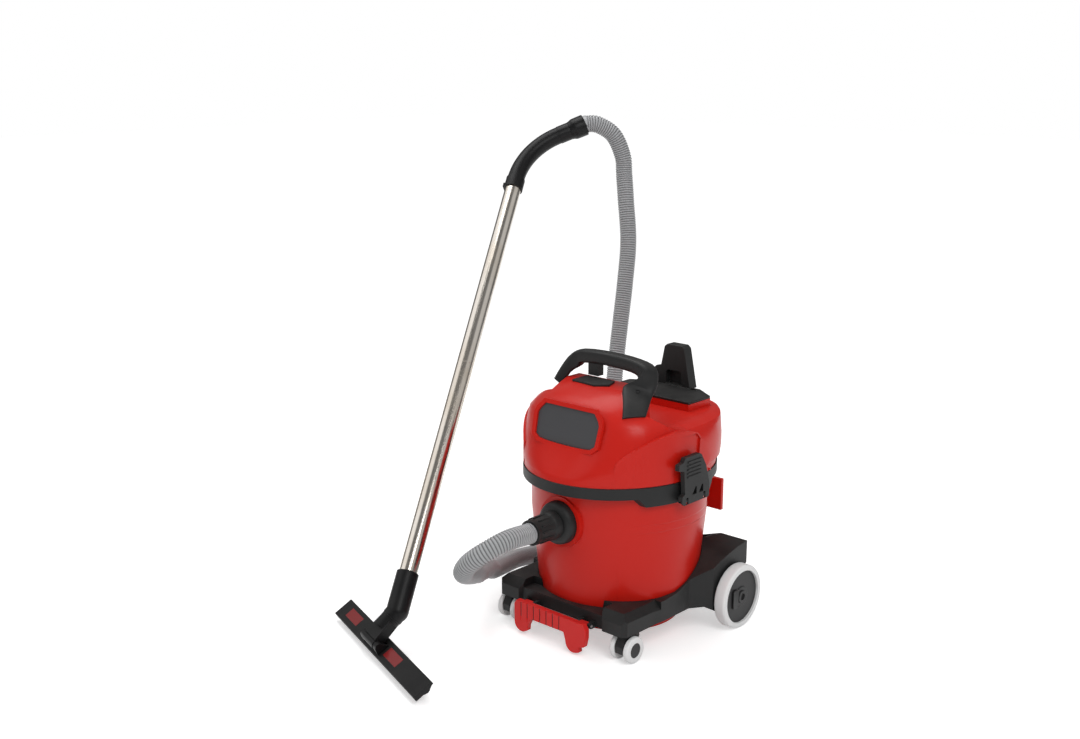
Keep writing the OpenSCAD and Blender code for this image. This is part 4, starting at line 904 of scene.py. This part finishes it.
def bristle_row(slope_at, root, tip):
    """Six points a bristle: a triangle at the root, and a smaller one at its leaning tip."""
    wide = rng.uniform(-ROW_HALF, ROW_HALF, BRISTLES)
    slope = slope_at + rng.uniform(-ROW_THICK, ROW_THICK, BRISTLES)
    lean_w, lean_s = rng.normal(0, LEAN_WIDE, BRISTLES), rng.normal(0, LEAN_SLOPE, BRISTLES)
    tips = tip + rng.uniform(0, UNEVEN, BRISTLES)
    turn = round_angles(3)
    ring_w, ring_s = BRISTLE_R * np.cos(turn), BRISTLE_R * np.sin(turn)
    top = on_nozzle(wide[:, None] + ring_w, slope[:, None] + ring_s, root - ROOT_IN)
    low = on_nozzle((wide + lean_w)[:, None] + ring_w * TIP_SHARE,
                    (slope + lean_s)[:, None] + ring_s * TIP_SHARE, tips[:, None])
    low[..., 2] = np.maximum(low[..., 2], CLEAR_OF_FLOOR)
    return np.stack([top, low], 1).reshape(-1, 3)


def strip_corners(slope_at, root):
    """The eight corners of the strip that a row stands in: four at one end, then four at the other."""
    slope = slope_at + STRIP_THICK * np.array([-1, 1, 1, -1])
    out = root - STRIP_DEEP * np.array([0, 0, 1, 1])
    return np.concatenate([on_nozzle(wide, slope, out) for wide in (-STRIP_HALF, STRIP_HALF)])


brush_verts, brush_faces, first = [], [], 0
for slope_at, root, tip in ROWS:
    brush_verts.append(bristle_row(slope_at, root, tip))
    spikes = first + 6 * np.arange(BRISTLES)[:, None]
    brush_faces += (spikes[:, :, None] + SPIKE_SIDES[None]).reshape(-1, 4).tolist()
    brush_faces += (spikes + SPIKE_ROOT).tolist() + (spikes + SPIKE_TIP).tolist()
    first += 6 * BRISTLES
    brush_verts.append(strip_corners(slope_at, root))
    brush_faces += box_faces(first)
    first += 8
brushes = mesh_object("nozzle_bristles", np.concatenate(brush_verts), brush_faces, False)
finish_with(brushes, "bristle")
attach(brushes, "nozzle")
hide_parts("nozzle_brushes")
print("bristles", len(brushes.data.polygons))

# %% [markdown]
# ## Floor and light
# The picture wants the machine on plain white, with a soft shadow under it. The floor's colour is
# white, and to the camera it also glows, so that it reads as white without more light on the
# machine. The lamps reach the far floor less, so the glow grows with distance from the middle.

# %% Floor
FLOOR_HALF = 14.0
FLOOR_WHITE = (0.86, 0.86, 0.86, 1)
NEAR_FLOOR, FAR_FLOOR = 1.2, 5.0
NEAR_GLOW, FAR_GLOW = 0.47, 0.62


def floor_finish():
    """Matt white plus a glow, seen by camera and reflections: near + (far - near) * far part."""
    material, tree, shader, place = new_material("floor_white")
    shader.inputs["Base Color"].default_value = FLOOR_WHITE
    shader.inputs["Roughness"].default_value = 0.9
    shader.inputs["Specular IOR Level"].default_value = 0.0
    away = tree.nodes.new("ShaderNodeVectorMath")
    away.operation = "LENGTH"
    tree.links.new(place, away.inputs[0])
    far_part = ramp(tree, away.outputs["Value"], NEAR_FLOOR, FAR_FLOOR)
    growth = math_node(tree, "MULTIPLY", far_part, FAR_GLOW - NEAR_GLOW)
    strength = math_node(tree, "ADD", growth, NEAR_GLOW)
    path = tree.nodes.new("ShaderNodeLightPath").outputs
    seen = math_node(tree, "MAXIMUM", path["Is Camera Ray"], path["Is Glossy Ray"])
    glow = tree.nodes.new("ShaderNodeEmission")
    tree.links.new(math_node(tree, "MULTIPLY", seen, strength), glow.inputs["Strength"])
    both = tree.nodes.new("ShaderNodeAddShader")
    tree.links.new(shader.outputs["BSDF"], both.inputs[0])
    tree.links.new(glow.outputs["Emission"], both.inputs[1])
    tree.links.new(both.outputs["Shader"], tree.nodes["Material Output"].inputs["Surface"])
    return material


floor_corners = [(x * FLOOR_HALF, y * FLOOR_HALF, 0) for x, y in ((-1, -1), (1, -1), (1, 1), (-1, 1))]
floor = mesh_object("floor", floor_corners, [(0, 1, 2, 3)], False)
floor.data.materials.append(floor_finish())
print("floor", FLOOR_HALF * 2, "m wide")

# %% [markdown]
# ## The room that shines in the metal
# Polished steel shows what stands round it. A studio hangs a few white panels and leaves the rest
# dim, and those panels are the bright bands down the wand. The world gives plain light to matt
# surfaces, white to the camera, and two soft panels on a dim room to reflections.

# %% World
AMBIENT = 0.50
DIM = 0.16
# Each panel: the way towards it, the cosines at its edge and its core, and its strength.
PANELS = [((-0.64, -0.34, 0.69), 0.84, 0.93, 1.0), ((0.70, 0.43, 0.57), 0.86, 0.95, 0.45)]
world = bpy.data.worlds.new("studio")
world.use_nodes = True
bpy.context.scene.world = world
sky_tree = world.node_tree
sky = sky_tree.nodes["Background"]
sky.inputs["Color"].default_value = (1, 1, 1, 1)
sky_path = sky_tree.nodes.new("ShaderNodeLightPath").outputs
sky_way = sky_tree.nodes.new("ShaderNodeTexCoord").outputs["Generated"]
room = DIM
for toward, edge, core, bright in PANELS:
    facing = sky_tree.nodes.new("ShaderNodeVectorMath")
    facing.operation = "DOT_PRODUCT"
    facing.inputs[1].default_value = toward
    sky_tree.links.new(sky_way, facing.inputs[0])
    panel = ramp(sky_tree, facing.outputs["Value"], edge, core)
    room = math_node(sky_tree, "ADD", math_node(sky_tree, "MULTIPLY", panel, bright), room)
camera_part = sky_path["Is Camera Ray"]
glossy_part = math_node(sky_tree, "MULTIPLY", sky_path["Is Glossy Ray"], room)
not_camera = math_node(sky_tree, "SUBTRACT", 1.0, camera_part)
other_part = math_node(sky_tree, "SUBTRACT", not_camera, sky_path["Is Glossy Ray"], clamp=True)
matt_part = math_node(sky_tree, "MULTIPLY", other_part, AMBIENT)
lit_part = math_node(sky_tree, "ADD", camera_part, glossy_part)
sky_tree.links.new(math_node(sky_tree, "ADD", lit_part, matt_part), sky.inputs["Strength"])
print("panels", len(PANELS))

# %% [markdown]
# ## Lamps
# Three large soft lamps: the key from the front right, one from above, and a weak one from the
# front. Their size is what makes the highlights on the red gloss broad and quiet.

# %% Lamps


def soft_lamp(name, at, aim_at, size, watts):
    """A square area lamp at a point, turned to look at another."""
    data = bpy.data.lights.new(name, "AREA")
    data.size = size
    data.energy = watts
    lamp = bpy.data.objects.new(name, data)
    lamp.location = at
    x, y, z = np.asarray(aim_at, float) - np.asarray(at, float)
    lamp.rotation_euler = (math.atan2(math.hypot(x, y), -z), 0, math.atan2(y, x) - math.pi / 2)
    bpy.context.collection.objects.link(lamp)
    return lamp


MIDDLE = (float(AXIS[0]) - 0.1, float(AXIS[1]), 0.4)
LAMPS = [
    soft_lamp("key_lamp", (2.4, -1.3, 2.7), MIDDLE, 1.5, 42),
    soft_lamp("top_lamp", (-0.9, 0.3, 3.2), MIDDLE, 1.8, 34),
    soft_lamp("front_lamp", (-0.6, -2.9, 1.6), MIDDLE, 1.4, 6),
]
print("lamps", [lamp.name for lamp in LAMPS])

bpy.context.scene.view_settings.view_transform = "Standard"
